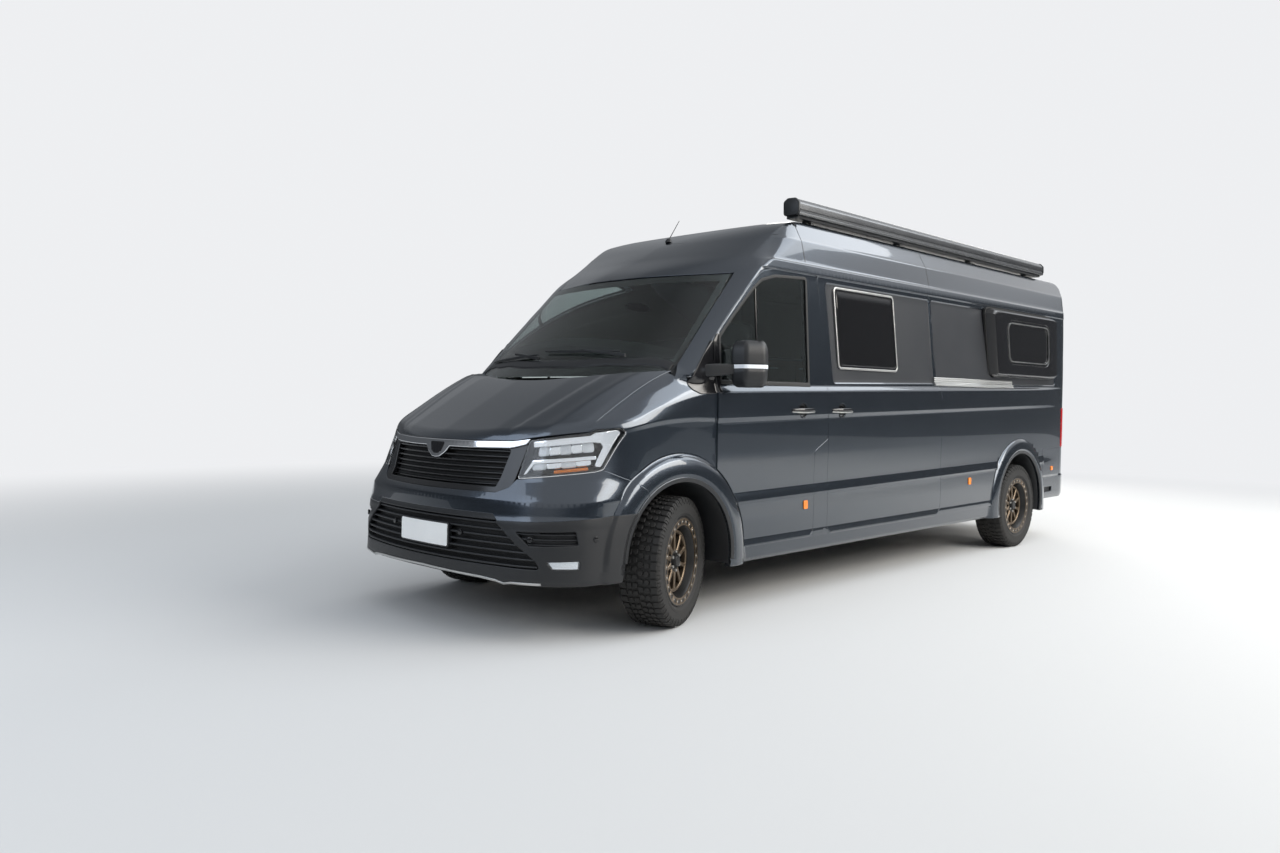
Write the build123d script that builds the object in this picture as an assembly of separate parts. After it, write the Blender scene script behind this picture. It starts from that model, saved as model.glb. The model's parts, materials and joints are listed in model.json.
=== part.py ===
from build123d import *
import math
import os

os.makedirs("parts", exist_ok=True)

# A long camper van with a high roof, in millimetres: +X forward, +Y to its left, +Z up.
# The origin is on the ground under the middle of its length and width.

# Driving dimensions
halfWidth = 1020
wheelbase = 4490
frontAxleX = 2417
rearAxleX = frontAxleX - wheelbase
tyreRadius = 365
tyreHalfWidth = 122
wheelY = 885
kingpinY = 870
restSteer = {1: 20, -1: 18}          # degrees to the left, by side
rimLip = 252
floorTop = 640
cavityY = 905                        # inner face of the side walls
hingeX, hingeY = 2084, 1015          # cab door hinge line
rearHingeX, rearHingeY = -3362, 806  # rear door hinge line
gap = 6                              # between fixed and moving panels
wingTop = 1396                       # where the front pillar's foot stands on the wing
wingX = 2104                         # rear edge of the wings
skinThickness = 26                   # bonnet and wings
archZ = 388
archRadius = 430
flareRadius = {"front": 569, "rear": 553}
glassRake = -1.0216                  # how far the windscreen runs back for each unit it rises
glassApexX, glassApexZ = 2553, 1445
glassArc = 2000
big = 4000


# Flat outlines, extruded along one axis
def outline(points, radius=0):
    radii = list(radius) if isinstance(radius, (list, tuple)) else [radius] * len(points)
    if any(radii):
        return make_face(FilletPolyline(*points, radius=radii, close=True))
    return make_face(Polyline(*points, close=True))


def sidePrism(points, y0, y1, radius=0):
    placed = Plane((0, y0, 0), x_dir=(1, 0, 0), z_dir=(0, -1, 0)) * outline(points, radius)
    return extrude(placed, amount=y1 - y0, dir=(0, 1, 0))


def crossPrism(points, x0, x1, radius=0):
    placed = Plane((x0, 0, 0), x_dir=(0, 1, 0), z_dir=(1, 0, 0)) * outline(points, radius)
    return extrude(placed, amount=x1 - x0, dir=(1, 0, 0))


def planPrism(points, z0, z1, radius=0):
    return extrude(Pos(0, 0, z0) * outline(points, radius), amount=z1 - z0, dir=(0, 0, 1))


def block(x0, x1, y0, y1, z0, z1):
    middle = Pos((x0 + x1) / 2, (y0 + y1) / 2, (z0 + z1) / 2)
    return middle * Box(abs(x1 - x0), abs(y1 - y0), abs(z1 - z0))


def rodY(x, z, radius, y0, y1):
    return Pos(x, (y0 + y1) / 2, z) * Rot(90, 0, 0) * Cylinder(radius, abs(y1 - y0))


def rodZ(x, y, radius, z0, z1):
    return Pos(x, y, (z0 + z1) / 2) * Cylinder(radius, z1 - z0)


def mirrored(shape):
    return mirror(shape, about=Plane.XZ)


def bothSides(shape):
    return Compound([shape, mirrored(shape)])


def write(name, shape):
    solids = shape.solids()
    export_step(solids[0] if len(solids) == 1 else Compound(solids), f"parts/{name}.step")


# Body side, from sill to roof edge
# (row, distance from the middle, height at the front station, height at the rear station)
sideRows = [
    ("sill underside", 975, 300, 300),
    ("sill foot", 1000, 322, 322),
    ("sill shoulder", 1005, 390, 398),
    ("sill ledge foot", 1018, 398, 410),
    ("sill ledge top", 1008, 440, 457),
    ("lower flank", 1013, 560, 600),
    ("rub band undercut", 1011, 652, 722),
    ("rub band foot", 1020, 662, 732),
    ("rub band top", 1004, 716, 790),
    ("door bulge", 1012, 930, 1010),
    ("crease foot", 1010, 1140, 1240),
    ("crease lip", 1019, 1160, 1262),
    ("shoulder", 1014, 1312, 1400),
    ("belt", 990, 1352, 1425),
    ("window head", 950, 2088, 2088),
    ("drip foot", 957, 2096, 2096),
    ("drip head", 951, 2150, 2150),
    ("roof flank", 938, 2162, 2162),
    ("roof crease", 905, 2312, 2312),
    ("roof crease head", 897, 2324, 2324),
    ("gutter", 836, 2446, 2446),
    ("roof edge", 815, 2460, 2460),
]
frontStation, rearStation = 2200, -2700
roofCrownZ = 2505


def rowPoints(x):
    share = (frontStation - x) / (frontStation - rearStation)
    return [(y, front + (rear - front) * share) for name, y, front, rear in sideRows]


def section(x):
    left = rowPoints(x)
    right = [(-y, z) for y, z in reversed(left)]
    crown = ThreePointArc(left[-1], (0, roofCrownZ), right[0])
    sides = [Line(a, b) for a, b in zip(left, left[1:])] + [Line(a, b) for a, b in zip(right, right[1:])]
    foot = Line(right[-1], left[0])
    return Plane((x, 0, 0), x_dir=(0, 1, 0), z_dir=(1, 0, 0)) * make_face([*sides, crown, foot])


def sideProfile():
    rearX = -3352
    dome = ThreePointArc((1904, 2075), (1480, 2345), (850, 2515))
    tail = ThreePointArc((-3180, 2515), (-3262, 2470), (-3296, 2380))
    path = [Line((2800, 290), (2800, 1200)), Line((2800, 1200), (1904, 2075)), dome,
            Line((850, 2515), (-3180, 2515)), tail, Line((-3296, 2380), (rearX, 1300)),
            Line((rearX, 1300), (rearX, 290)), Line((rearX, 290), (2800, 290))]
    face = Plane((0, -1300, 0), x_dir=(1, 0, 0), z_dir=(0, -1, 0)) * make_face(path)
    return extrude(face, amount=2600, dir=(0, 1, 0))


def bodyPlan(inset=0):
    # the tail tapers a little, then turns a wide corner
    corner = 330 - inset
    cornerX, cornerY = -3352 + 330, 660
    side = 990 - inset
    diagonal = corner * math.sqrt(0.5)
    half = [(2800, 1012 - inset), (2100, halfWidth - inset), (-1900, halfWidth - inset)]
    edges = []
    for sign in (1, -1):
        pts = [(x, sign * y) for x, y in half]
        edges += [Line(pts[0], pts[1]), Line(pts[1], pts[2]),
                  ThreePointArc(pts[2], (-2500, sign * (1010 - inset)), (cornerX, sign * side)),
                  ThreePointArc((cornerX, sign * side), (cornerX - diagonal, sign * (cornerY + diagonal)),
                                (cornerX - corner, sign * cornerY))]
    edges += [Line((cornerX - corner, cornerY), (cornerX - corner, -cornerY)),
              Line((2800, 1012 - inset), (2800, -(1012 - inset)))]
    return extrude(Pos(0, 0, 280) * make_face(edges), amount=2300, dir=(0, 0, 1))


def behindGlass(inset=0):
    z0 = 1200
    apex = glassApexX + (glassApexZ - z0) * -glassRake - inset
    halfSpan = 1150
    sag = glassArc - math.sqrt(glassArc**2 - halfSpan**2)
    arc = ThreePointArc((apex - sag, -halfSpan), (apex, 0), (apex - sag, halfSpan))
    edge = apex - sag
    back = Polyline((edge, halfSpan), (-big, halfSpan), (-big, -halfSpan), (edge, -halfSpan))
    rise = 1500
    face = Pos(0, 0, z0) * make_face([arc, *back.edges()])
    lower = block(-big, 2800, -halfSpan, halfSpan, 200, z0)
    return extrude(face, amount=rise * math.hypot(1, glassRake), dir=(glassRake, 0, 1)) + lower


# The windscreen's edge and the point on the door side between which each front pillar is rounded off
pillarFoot, pillarHead = Vector(2346, 887, 1455), Vector(1731, 814, 2057)
pillarBack = Vector(2230, 985, 1455)


def pillarCut(side):
    across = (pillarHead - pillarFoot).cross(pillarBack - pillarFoot)
    normal = across if across.Y > 0 else across * -1
    plane = Plane(origin=pillarFoot, x_dir=pillarHead - pillarFoot, z_dir=normal)
    beyond = plane * Box(big, big, 900, align=(Align.CENTER, Align.CENTER, Align.MIN))
    beyond = beyond & block(900, 2800, 500, 1400, wingTop, 2700)
    return beyond if side > 0 else mirrored(beyond)


def masterBody():
    body = loft([section(2800), section(-3450)], ruled=True) & sideProfile() & bodyPlan() & behindGlass()
    return body - pillarCut(1) - pillarCut(-1)


def cabin():
    # everything inside the walls
    half = [(cavityY, floorTop), (cavityY, 1340), (915, 1400), (872, 2080), (850, 2160), (812, 2310),
            (745, 2415)]
    room = crossPrism(half + [(-y, z) for y, z in reversed(half)], -3290, 2700)
    profile = [(-3290, floorTop), (2330, floorTop), (2330, 1400), (2700, 1400), (1860, 2035), (1440, 2290),
               (850, 2440), (-3290, 2440)]
    return room & sidePrism(profile, -1000, 1000) & behindGlass(60)


master = masterBody()
cavity = cabin() & bodyPlan(62)
shell = master - cavity

# Openings in the side, as outlines seen from the left
cabDoor = [(1125, 404), (2098, 404), (2098, 1340), (2121, 1480), (2121, 1612), (1935, 1801), (1747, 1976),
           (1640, 2060), (1500, 2091), (1048, 2091), (1004, 1823), (973, 1364), (969, 1024), (1118, 950)]
cabDoorRadius = [60, 0, 0, 0, 40, 300, 300, 200, 150, 30, 0, 0, 12, 40]
slidingDoor = [(957, 404), (957, 1020), (967, 1364), (998, 1823), (1041, 2091), (-480, 2091), (-520, 1855),
               (-548, 1440), (-612, 1300), (-612, 404)]
slidingDoorRadius = [60, 0, 0, 0, 20, 60, 0, 60, 60, 90]
cabWindow = [(1168, 1380), (2058, 1380), (2058, 1640), (1907, 1788), (1748, 1930), (1640, 2010),
             (1500, 2045), (1168, 2062)]
cabWindowRadius = [20, 12, 40, 300, 200, 150, 100, 20]
sideWindow = [(70, 1486), (820, 1486), (820, 2036), (70, 2036)]
podBase = [(-1500, 1486), (-1390, 2076), (-2790, 2076), (-2830, 1486)]
podHole = [(-1560, 1530), (-1470, 2030), (-2720, 2030), (-2750, 1530)]
podWindow = [(-1760, 1640), (-1700, 1955), (-2560, 1955), (-2590, 1640)]
rearDoorTop, rearDoorFoot = 2336, 612
rearDoorY = 800
lampLow, lampHigh = 861, 1235
bumperX, bumperFoot, bumperHead = -2600, 392, 600


def grown(points, radius, by):
    # an outline made larger all round
    return offset(outline(points, radius), by, kind=Kind.ARC)


def through(face, y0, y1):
    placed = Plane((0, y0, 0), x_dir=(1, 0, 0), z_dir=(0, -1, 0)) * face
    return extrude(placed, amount=y1 - y0, dir=(0, 1, 0))


def flareRing(axleX, centreZ, outer):
    # a raised band round the arch, revolved about the arch's own axis
    ring = [(archRadius, 960), (archRadius, 1026), (archRadius + 34, 1034), (outer, 1012), (outer, 960)]
    face = Plane((axleX, 0, centreZ), x_dir=(1, 0, 0), z_dir=(0, 0, 1)) * outline(ring)
    return revolve(face, Axis((axleX, 0, centreZ), (0, 1, 0)), 360)


rearArchX, rearArchZ = rearAxleX, 405
frontFlare = flareRing(frontAxleX, archZ, flareRadius["front"]) & block(1700, 2790, 900, 1100, 440, 1100)
rearFlare = flareRing(rearArchX, rearArchZ, flareRadius["rear"]) & block(-2596, -1400, 900, 1100, 420, 1100)
frontDisc = rodY(frontAxleX, archZ, flareRadius["front"] + gap, 880, 1100)


def tailLamp():
    corner = master - bodyPlan(70)
    return corner & block(-3400, -3060, 815, 1100, lampLow, lampHigh)


def bumperCorner():
    return (master - bodyPlan(60)) & block(-3400, bumperX, 812, 1100, bumperHead, lampLow)


lamp = tailLamp()
sideRegion = crossPrism([(cavityY, 290), (cavityY, 1400), (887, 1455), (814, 2057), (822, 2470),
                         (822, 2530), (1100, 2530), (1100, 290)], -3400, 2800)
sideRegion += block(-3400, -3290, rearHingeY, 950, 600, rearDoorTop) - crossPrism(
    [(0, 2057), (814, 2057), (822, 2470), (0, 2470)], -3500, -3200)


def sidePanel():
    wall = shell & sideRegion
    wall -= block(wingX, 2800, 800, 1100, 200, wingTop)
    wall -= rodY(frontAxleX, archZ, archRadius + 4, 800, 1100)
    wall -= frontDisc & block(1700, 2200, 880, 1100, 442, 1100)
    wall -= rodY(rearArchX, rearArchZ, archRadius, 800, 1100)
    wall -= block(-3500, bumperX, 800, 1100, 200, lampLow)
    wall -= block(-3500, -3250, -1100, rearHingeY, rearDoorFoot - 12, rearDoorTop + gap)
    wall -= through(grown(cabDoor, cabDoorRadius, gap), 800, 1100)
    return wall


leftWall = sidePanel()
rightWall = mirrored(leftWall)
sliding = shell & sideRegion & through(outline(slidingDoor, slidingDoorRadius), 800, 1100)
leftWall -= through(grown(slidingDoor, slidingDoorRadius, gap), 800, 1100)
for wallSide in (1, -1):
    wall = leftWall if wallSide > 0 else rightWall
    trimTools = [through(outline(podHole, 40), 800, 1100), lamp]
    for tool in trimTools:
        wall -= tool if wallSide > 0 else mirrored(tool)
    flare = rearFlare - rodY(rearArchX, rearArchZ, archRadius, 900, 1100)
    wall += flare if wallSide > 0 else mirrored(flare)
    if wallSide < 0:
        wall -= mirrored(through(outline(sideWindow, 40), 800, 1100))
    write("side_left" if wallSide > 0 else "side_right", wall)

# Sliding door, with the roller arms that hold it in its opening
sliding -= through(outline(sideWindow, 40), 800, 1100)
for armX, armZ in ((961, 520), (967, 1960), (-632, 1180)):
    sliding += block(armX - 20, armX + 20, 915, 945, armZ - 20, armZ + 20) - leftWall
write("sliding_door", sliding)

# Roof, windscreen and floor
roofRegion = crossPrism([(-814, 2057), (814, 2057), (822, 2470), (822, 2530), (-822, 2530), (-822, 2470)],
                        -3400, 2800)
roof = (shell & roofRegion) - block(-3500, -3290, -rearHingeY, rearHingeY, 2000, rearDoorTop + gap)
roofSeams = {"roof_rear": (-3500, -3290), "roof": (-3290, 1160), "roof_front": (1160, 2800)}
for name, (rearX, frontX) in roofSeams.items():
    write(name, roof & block(rearX, frontX, -900, 900, 2000, 2600))

glassEdge = [(893, 1405), (887, 1455), (814, 2057), (-814, 2057), (-887, 1455), (-893, 1405)]
glassRegion = crossPrism(glassEdge, 1500, 2800)
windscreen = (behindGlass(0) - behindGlass(9)) & glassRegion
write("windscreen", windscreen)

railY, railWidth, railFoot = 420, 80, 470
padX = (1450, -3050)
housingInner = 474


def wheelHousing(x, z, inner, outer, floorCut):
    drum = rodY(x, z, archRadius + 8, inner - 8, outer) - rodY(x, z, archRadius, inner, outer + 10)
    return drum & block(x - 500, x + 500, 0, 1100, floorCut, 1100)


floorFoot = floorTop - 34
housings = {"front": (frontAxleX, archZ, housingInner, 960), "rear": (rearArchX, rearArchZ, 690, cavityY)}


def floorNode():
    slab = block(-3284, 2330, -cavityY, cavityY, floorFoot, floorTop) & bodyPlan(64)
    slab += block(2330, 2348, -cavityY, cavityY, 440, 1400)                # firewall
    for x, z, inner, outer in housings.values():
        drum = rodY(x, z, archRadius + 8, inner - 8, 1200)
        slab = slab - drum - mirrored(drum)
    return slab


def chassisFrame():
    frame = block(-3352, -3284, -640, 640, railFoot, bumperHead)
    for sign in (1, -1):
        y0, y1 = sign * (railY - railWidth / 2), sign * (railY + railWidth / 2)
        frame += block(-3284, 2330, y0, y1, railFoot, floorFoot)
    for x in (-3150, -2560, -1500, -600, 300, 1200, 1900):
        frame += block(x - 30, x + 30, -380, 380, 500, floorFoot)
    # lifting pads under the rails
    for x in padX:
        for sign in (1, -1):
            y0, y1 = sign * railY - railWidth / 2, sign * railY + railWidth / 2
            frame += block(x - 70, x + 70, y0, y1, railFoot - 8, railFoot)
    return frame


write("floor", floorNode())
write("chassis_frame", chassisFrame())
for place, (x, z, inner, outer) in housings.items():
    write(f"wheel_housings_{place}", bothSides(wheelHousing(x, z, inner, outer, railFoot)))

# Front end. The nose leans back from the bumper to the bonnet's edge.
noseLow, noseHigh = 560, 1080


def noseFace(z, high, inset):
    if high:
        side, wrap, corner, midFront = (2700, 1000), (2935, 925), (3130, 735), (3306, 0)
    else:
        side, wrap, corner, midFront = (2860, 1008), (3190, 925), (3340, 690), (3418, 0)
    side, wrap = (side[0] - inset, side[1] - inset), (wrap[0] - inset, wrap[1] - inset * 0.8)
    corner, midFront = (corner[0] - inset, corner[1] - inset * 0.3), (midFront[0] - inset, 0)
    mirrorOf = lambda p: (p[0], -p[1])
    edges = [Line((2104, 1008 - inset), side), ThreePointArc(side, wrap, corner),
             ThreePointArc(corner, midFront, mirrorOf(corner)),
             ThreePointArc(mirrorOf(corner), mirrorOf(wrap), mirrorOf(side)),
             Line(mirrorOf(side), (2104, -(1008 - inset))),
             Line((2104, -(1008 - inset)), (2104, 1008 - inset))]
    return Pos(0, 0, z) * make_face(edges)


def nose(inset=0):
    body = loft([noseFace(noseLow, False, inset), noseFace(noseHigh, True, inset)], ruled=True)
    body += extrude(noseFace(300, False, inset), amount=noseLow - 300, dir=(0, 0, 1))
    return body + extrude(noseFace(noseHigh, True, inset), amount=420, dir=(0, 0, 1))


# Bonnet and wings: half sections (distance from the middle, height) at four stations along the van
bonnetStations = [
    (wingX, [(0, 1560), (450, 1545), (800, 1500), (925, 1450), (986, 1396), (990, 1352), (1014, 1312),
             (1019, 1165), (1010, 1145), (1012, 930), (1006, 300)]),
    (2600, [(0, 1452), (450, 1440), (790, 1398), (880, 1352), (935, 1300), (960, 1262), (990, 1215),
            (1012, 1150), (1005, 1126), (1010, 900), (1006, 300)]),
    (2960, [(0, 1268), (420, 1254), (740, 1212), (850, 1168), (915, 1125), (940, 1105), (968, 1088),
            (990, 1070), (990, 1050), (1005, 850), (1006, 300)]),
    (3420, [(0, 1010), (400, 998), (700, 962), (800, 930), (860, 905), (895, 890), (930, 875),
            (955, 860), (960, 840), (980, 700), (990, 300)]),
]


def frontBlock(drop=0):
    faces = []
    for x, half in bonnetStations:
        shift = drop * 0.6
        left = [(y - shift if y > 0 else y, z - drop if z > 300 else z) for y, z in half]
        right = [(-y, z) for y, z in reversed(left[1:])]
        faces.append(Plane((x, 0, 0), x_dir=(0, 1, 0), z_dir=(1, 0, 0)) * outline(left + right))
    return loft(faces, ruled=True)


outerNose, innerNose = nose(), nose(55)
noseRing = outerNose - innerNose
front = frontBlock() & outerNose
frontInner = frontBlock(skinThickness) & innerNose
shutY = 884                     # bonnet's side edge
bonnetLow = 1058                # and its front edge
faceTop = 1045                  # top of the grille and of the bumper's painted cover
coverX = 2790                   # where the bumper meets the wing
archTool = rodY(frontAxleX, archZ, archRadius + 8, 700, 1200)
lampOutline = [(3400, 850), (3280, 852), (3012, 908), (2985, 935), (2818, 1097), (2880, 1112), (3400, 1062)]
lampOpening = through(offset(outline(lampOutline), 3), 560, 1100)
lampClear = through(offset(outline(lampOutline), gap), 560, 1100)

bonnet = (frontBlock() & nose(4)) - frontBlock(skinThickness) - behindGlass(-14)
bonnet &= block(2405, 3420, -shutY, shutY, bonnetLow, 1600)
bonnet = bonnet - lampClear - mirrored(lampClear)
write("bonnet", bonnet)


# Wings: the flanks of the front end, with the raised band round the arch
def wing():
    skin = (front - frontInner) & block(wingX, coverX, 600, 1100, 300, wingTop)
    lampCheek = (front - frontInner) & block(coverX, 3060, 880, 1100, 850, 1300)
    skin += lampCheek
    skin -= block(2390, 3420, 0, shutY + gap, 1052, 1600)
    skin -= block(wingX, 2400, 0, cavityY, 1052, 1600)
    skin = skin - lampOpening - archTool - pillarCut(1)
    skin -= through(grown(cabDoor, cabDoorRadius, gap), 800, 1100)
    return skin + (frontFlare - rodY(frontAxleX, archZ, archRadius, 900, 1100))


leftWing = wing()
write("wing_left", leftWing)
write("wing_right", mirrored(leftWing))

headlamp = (outerNose & frontBlock() & through(outline(lampOutline), 560, 1100)) - nose(75)
headlamp &= block(2700, 3420, 643, 1100, 840, 1120)
write("headlamps", bothSides(headlamp))

# Bumper: a painted cover with the grille's opening, over a dark lower part. The two meet on this line.
bumperSplit = [(1100, 664), (1000, 664), (560, 640), (500, 722), (-500, 722), (-560, 640), (-1000, 664),
               (-1100, 664)]
grilleOpening = [(560, 776), (640, faceTop), (-640, faceTop), (-560, 776)]
cover = noseRing & crossPrism(bumperSplit + [(-1100, faceTop), (1100, faceTop)], coverX, 3420)
cover -= crossPrism(grilleOpening, 3000, 3500)
for tool in (lampOpening, archTool, block(coverX, 3060, 880, 1100, 850, faceTop)):
    cover = cover - tool - mirrored(tool)
write("bumper_cover", cover)

lowerFoot = 306
lower = noseRing & crossPrism(bumperSplit + [(-1100, lowerFoot), (1100, lowerFoot)], coverX, 3420)
lower = lower - archTool - mirrored(archTool)
mesh = [(495, 690), (-495, 690), (-590, 400), (590, 400)]
lower -= crossPrism(mesh, 3200, 3500, 12)
for slatZ in (440, 500, 560, 620):
    lower += noseRing & block(3200, 3420, -600, 600, slatZ - 12, slatZ + 12)
for sign in (1, -1):
    inlet = [(sign * 650, 600), (sign * 900, 585), (sign * 905, 500), (sign * 730, 505)]
    fog = [(sign * 800, 440), (sign * 930, 440), (sign * 930, 398), (sign * 830, 398)]
    for hole in (inlet, fog):
        lower -= crossPrism(hole, 2900, 3500, 8)
write("bumper_lower", lower)

grille = noseRing & crossPrism(grilleOpening, 3000, 3420)
grille -= crossPrism([(500, 812), (555, 990), (-555, 990), (-500, 812)], 3000, 3500, 14)
for slat in range(4):
    slatZ = 842 + slat * 38
    grille += noseRing & block(3150, 3400, -560, 560, slatZ - 8, slatZ + 8)
write("grille", grille)

frame = block(3150, 3180, -470, 470, 420, 1010)
frame += block(3090, 3150, -430, 430, 470, 960)
frame += block(3180, 3420, -600, 600, 735, 772) & innerNose
for sign in (1, -1):
    frame += block(2348, 3150, sign * 380, sign * 460, 470, 560)
    frame += block(3060, 3400, sign * 460, sign * 900, 925, 955) & nose(75)
frame += block(2348, 2420, -860, 860, 1300, 1360)
write("front_frame", frame)

# Cab doors. Each is cut to a cylinder about its hinge, so that its rear edge swings clear.
doorReach = hingeX - 968


def doorHandle(x):
    outside = [(-120, 1008), (-100, 1026), (-60, 1042), (60, 1042), (100, 1026), (120, 1008)]
    inside = [(70, 1008), (50, 1028), (-50, 1028), (-70, 1008)]
    return planPrism([(x + dx, y) for dx, y in outside + inside], 1196, 1224)


def cabDoorNodes():
    skin = shell & sideRegion & through(outline(cabDoor, cabDoorRadius), 800, 1100)
    skin = skin - rodY(frontAxleX, archZ, flareRadius["front"] + 2 * gap, 800, 1100)
    skin = skin & rodZ(hingeX, hingeY, doorReach + 1, 300, 2200)
    pane = through(outline(cabWindow, cabWindowRadius), 800, 1100)
    door = skin - pane
    outerFace = crossPrism([(983, 1370), (943, 2070), (700, 2070), (700, 1370)], 1100, 2200)
    outerFace -= pillarCut(1)
    glass = (outerFace - outerFace.moved(Location((-6, -9, -3)))) & pane
    return door + doorHandle(1257), glass


leftDoor, leftGlass = cabDoorNodes()
write("cab_door_left", leftDoor)
write("cab_door_right", mirrored(leftDoor))
write("cab_glass_left", leftGlass)
write("cab_glass_right", mirrored(leftGlass))

# Mirrors: a tall head on a short arm that leaves the door's front corner
mirrorFoot, mirrorTop = 1342, 1616
mirrorPlan = [(1895, 1048), (1880, 1205), (1935, 1213), (2050, 1160), (2062, 1060), (2030, 1040)]
mirrorHead = planPrism(mirrorPlan, mirrorFoot, mirrorTop, 18)
mirrorArm = block(1980, 2050, 960, 1090, mirrorFoot, mirrorFoot + 34) - leftDoor
leftMirror = mirrorHead + mirrorArm
write("mirror_left", leftMirror)
write("mirror_right", mirrored(leftMirror))

# Habitation windows and the pods that widen the bed
paneLayer = crossPrism([(998, 1440), (964, 2090), (944, 2090), (978, 1440)], -3000, 1000)
sidePane = paneLayer & through(outline(sideWindow, 40), 800, 1100)


podFoot, podOut = 930, 1048       # where a pod meets the wall, and its outer face


def podNode():
    base = Plane((0, podFoot, 0), x_dir=(1, 0, 0), z_dir=(0, -1, 0)) * outline(podBase, 50)
    face = Plane((0, podOut, 0), x_dir=(1, 0, 0), z_dir=(0, -1, 0)) * offset(outline(podBase, 50), -38)
    hole = outline(podHole, 40)
    pod = loft([base, face], ruled=True) - through(hole, 900, podOut - 20)
    pod = pod - through(outline(podWindow, 30), 900, 1200) - leftWall
    return pod + (through(hole, cavityY, podOut - 18) - through(offset(hole, -16), 800, 1200))


leftPod = podNode()
write("side_pods", bothSides(leftPod))
podPane = through(outline(podWindow, 30), 1034, 1044)
write("camper_windows", Compound([sidePane, mirrored(sidePane), podPane, mirrored(podPane)]))

# Tail: doors, bumper and lamps
write("tail_lamps", bothSides(lamp))


def rearDoorNode():
    skin = (master & block(-3400, -3290, 5, rearDoorY, rearDoorFoot, rearDoorTop))
    skin &= rodZ(rearHingeX, rearHingeY, rearHingeY - 5.2, rearDoorFoot - 10, rearDoorTop + 10)
    return skin


leftRear = rearDoorNode()
write("rear_door_left", leftRear)
write("rear_door_right", mirrored(leftRear))

bumperOutline = [(bumperX, 1004), (-3090, 992), (-3310, 905), (-3418, 690), (-3418, -690), (-3310, -905),
                 (-3090, -992), (bumperX, -1004)]
bumperInside = [(bumperX, 940), (-3070, 930), (-3250, 860), (-3352, 660), (-3352, -660), (-3250, -860),
                (-3070, -930), (bumperX, -940)]
rearBumper = planPrism(bumperOutline, bumperFoot, bumperHead, [0, 200, 200, 60, 60, 200, 200, 0])
rearBumper -= planPrism(bumperInside, 300, 700, [0, 150, 150, 60, 60, 150, 150, 0])
rearBumper = rearBumper + bumperCorner() + mirrored(bumperCorner())
write("bumper_rear", rearBumper)

# Awning on the left edge of the roof
awningFront, awningRear = 1254, -2870
awningShape = [(742, 2492), (850, 2492), (866, 2530), (862, 2570), (836, 2598), (760, 2604), (742, 2580)]
awning = crossPrism(awningShape, awningRear, awningFront, [6, 16, 24, 24, 24, 20, 10])
for bracketX in (900, -300, -1500, -2650):
    awning += block(bracketX - 60, bracketX + 60, 750, 812, 2440, 2496) - master
write("awning", awning)

# Cab fittings
dashProfile = [(2330, 900), (2330, 1392), (2180, 1400), (2030, 1300), (2010, 1180), (2120, 1040),
               (2250, 900)]
dash = sidePrism(dashProfile, -860, 860, 14)
write("dashboard", dash)
wheelPlane = Plane((1940, -430, 1190), x_dir=(0, 1, 0), z_dir=(-0.82, 0, 0.57))
rimSection = Plane.XZ * Pos(190, 0) * RegularPolygon(15, 8)
steeringWheel = wheelPlane * (revolve(rimSection, Axis.Z, 360) + Cylinder(48, 40)
                              + Box(370, 34, 16) + Pos(0, -95, 0) * Box(34, 185, 16))
steeringWheel += wheelPlane * (Pos(0, 0, -75) * Cylinder(34, 130))
write("steering_wheel", steeringWheel - dash)

seatX, seatY, seatWidth = 1480, 440, 500
seatSide = [(1250, 940), (1740, 940), (1760, 1020), (1700, 1062), (1420, 1050), (1360, 1110), (1280, 1580),
            (1190, 1570), (1240, 1040)]
headrest = [(1180, 1600), (1290, 1605), (1275, 1775), (1190, 1775)]
pedestals, cushions = [], []
for sign in (1, -1):
    y0, y1 = sign * seatY - seatWidth / 2, sign * seatY + seatWidth / 2
    pedestals.append(block(seatX - 190, seatX + 190, y0 + 60, y1 - 60, floorTop, 940))
    seat = sidePrism(seatSide, y0, y1, 20)
    posts = block(1215, 1245, y0 + 200, y0 + 215, 1560, 1610)
    posts += block(1215, 1245, y1 - 215, y1 - 200, 1560, 1610)
    cushions.append(seat)
    cushions.append(sidePrism(headrest, y0 + 110, y1 - 110, 25) + posts - seat)
write("seat_pedestals", Compound(pedestals))
write("seat_cushions", Compound([solid for part in cushions for solid in part.solids()]))

kitchen = block(-1500, -250, -cavityY, -430, floorTop, 1540) - block(-1480, -270, -440, -420, 700, 1500)
bedFoot, bedTop = 1180, 1212
bed = block(-3278, -1640, -790, 790, bedFoot, bedTop)
bed += block(-3040, -1640, -cavityY, cavityY, bedFoot, bedTop)
for sign in (1, -1):
    bed += block(-3040, -1640, sign * 560, sign * cavityY, floorTop, bedFoot)
    drum = rodY(rearArchX, rearArchZ, archRadius + 8, 682, cavityY)
    bed -= drum if sign > 0 else mirrored(drum)
write("furniture", Compound([kitchen, *bed.solids()]))
write("mattress", block(-3270, -1660, -780, 780, bedTop, 1330))

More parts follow.
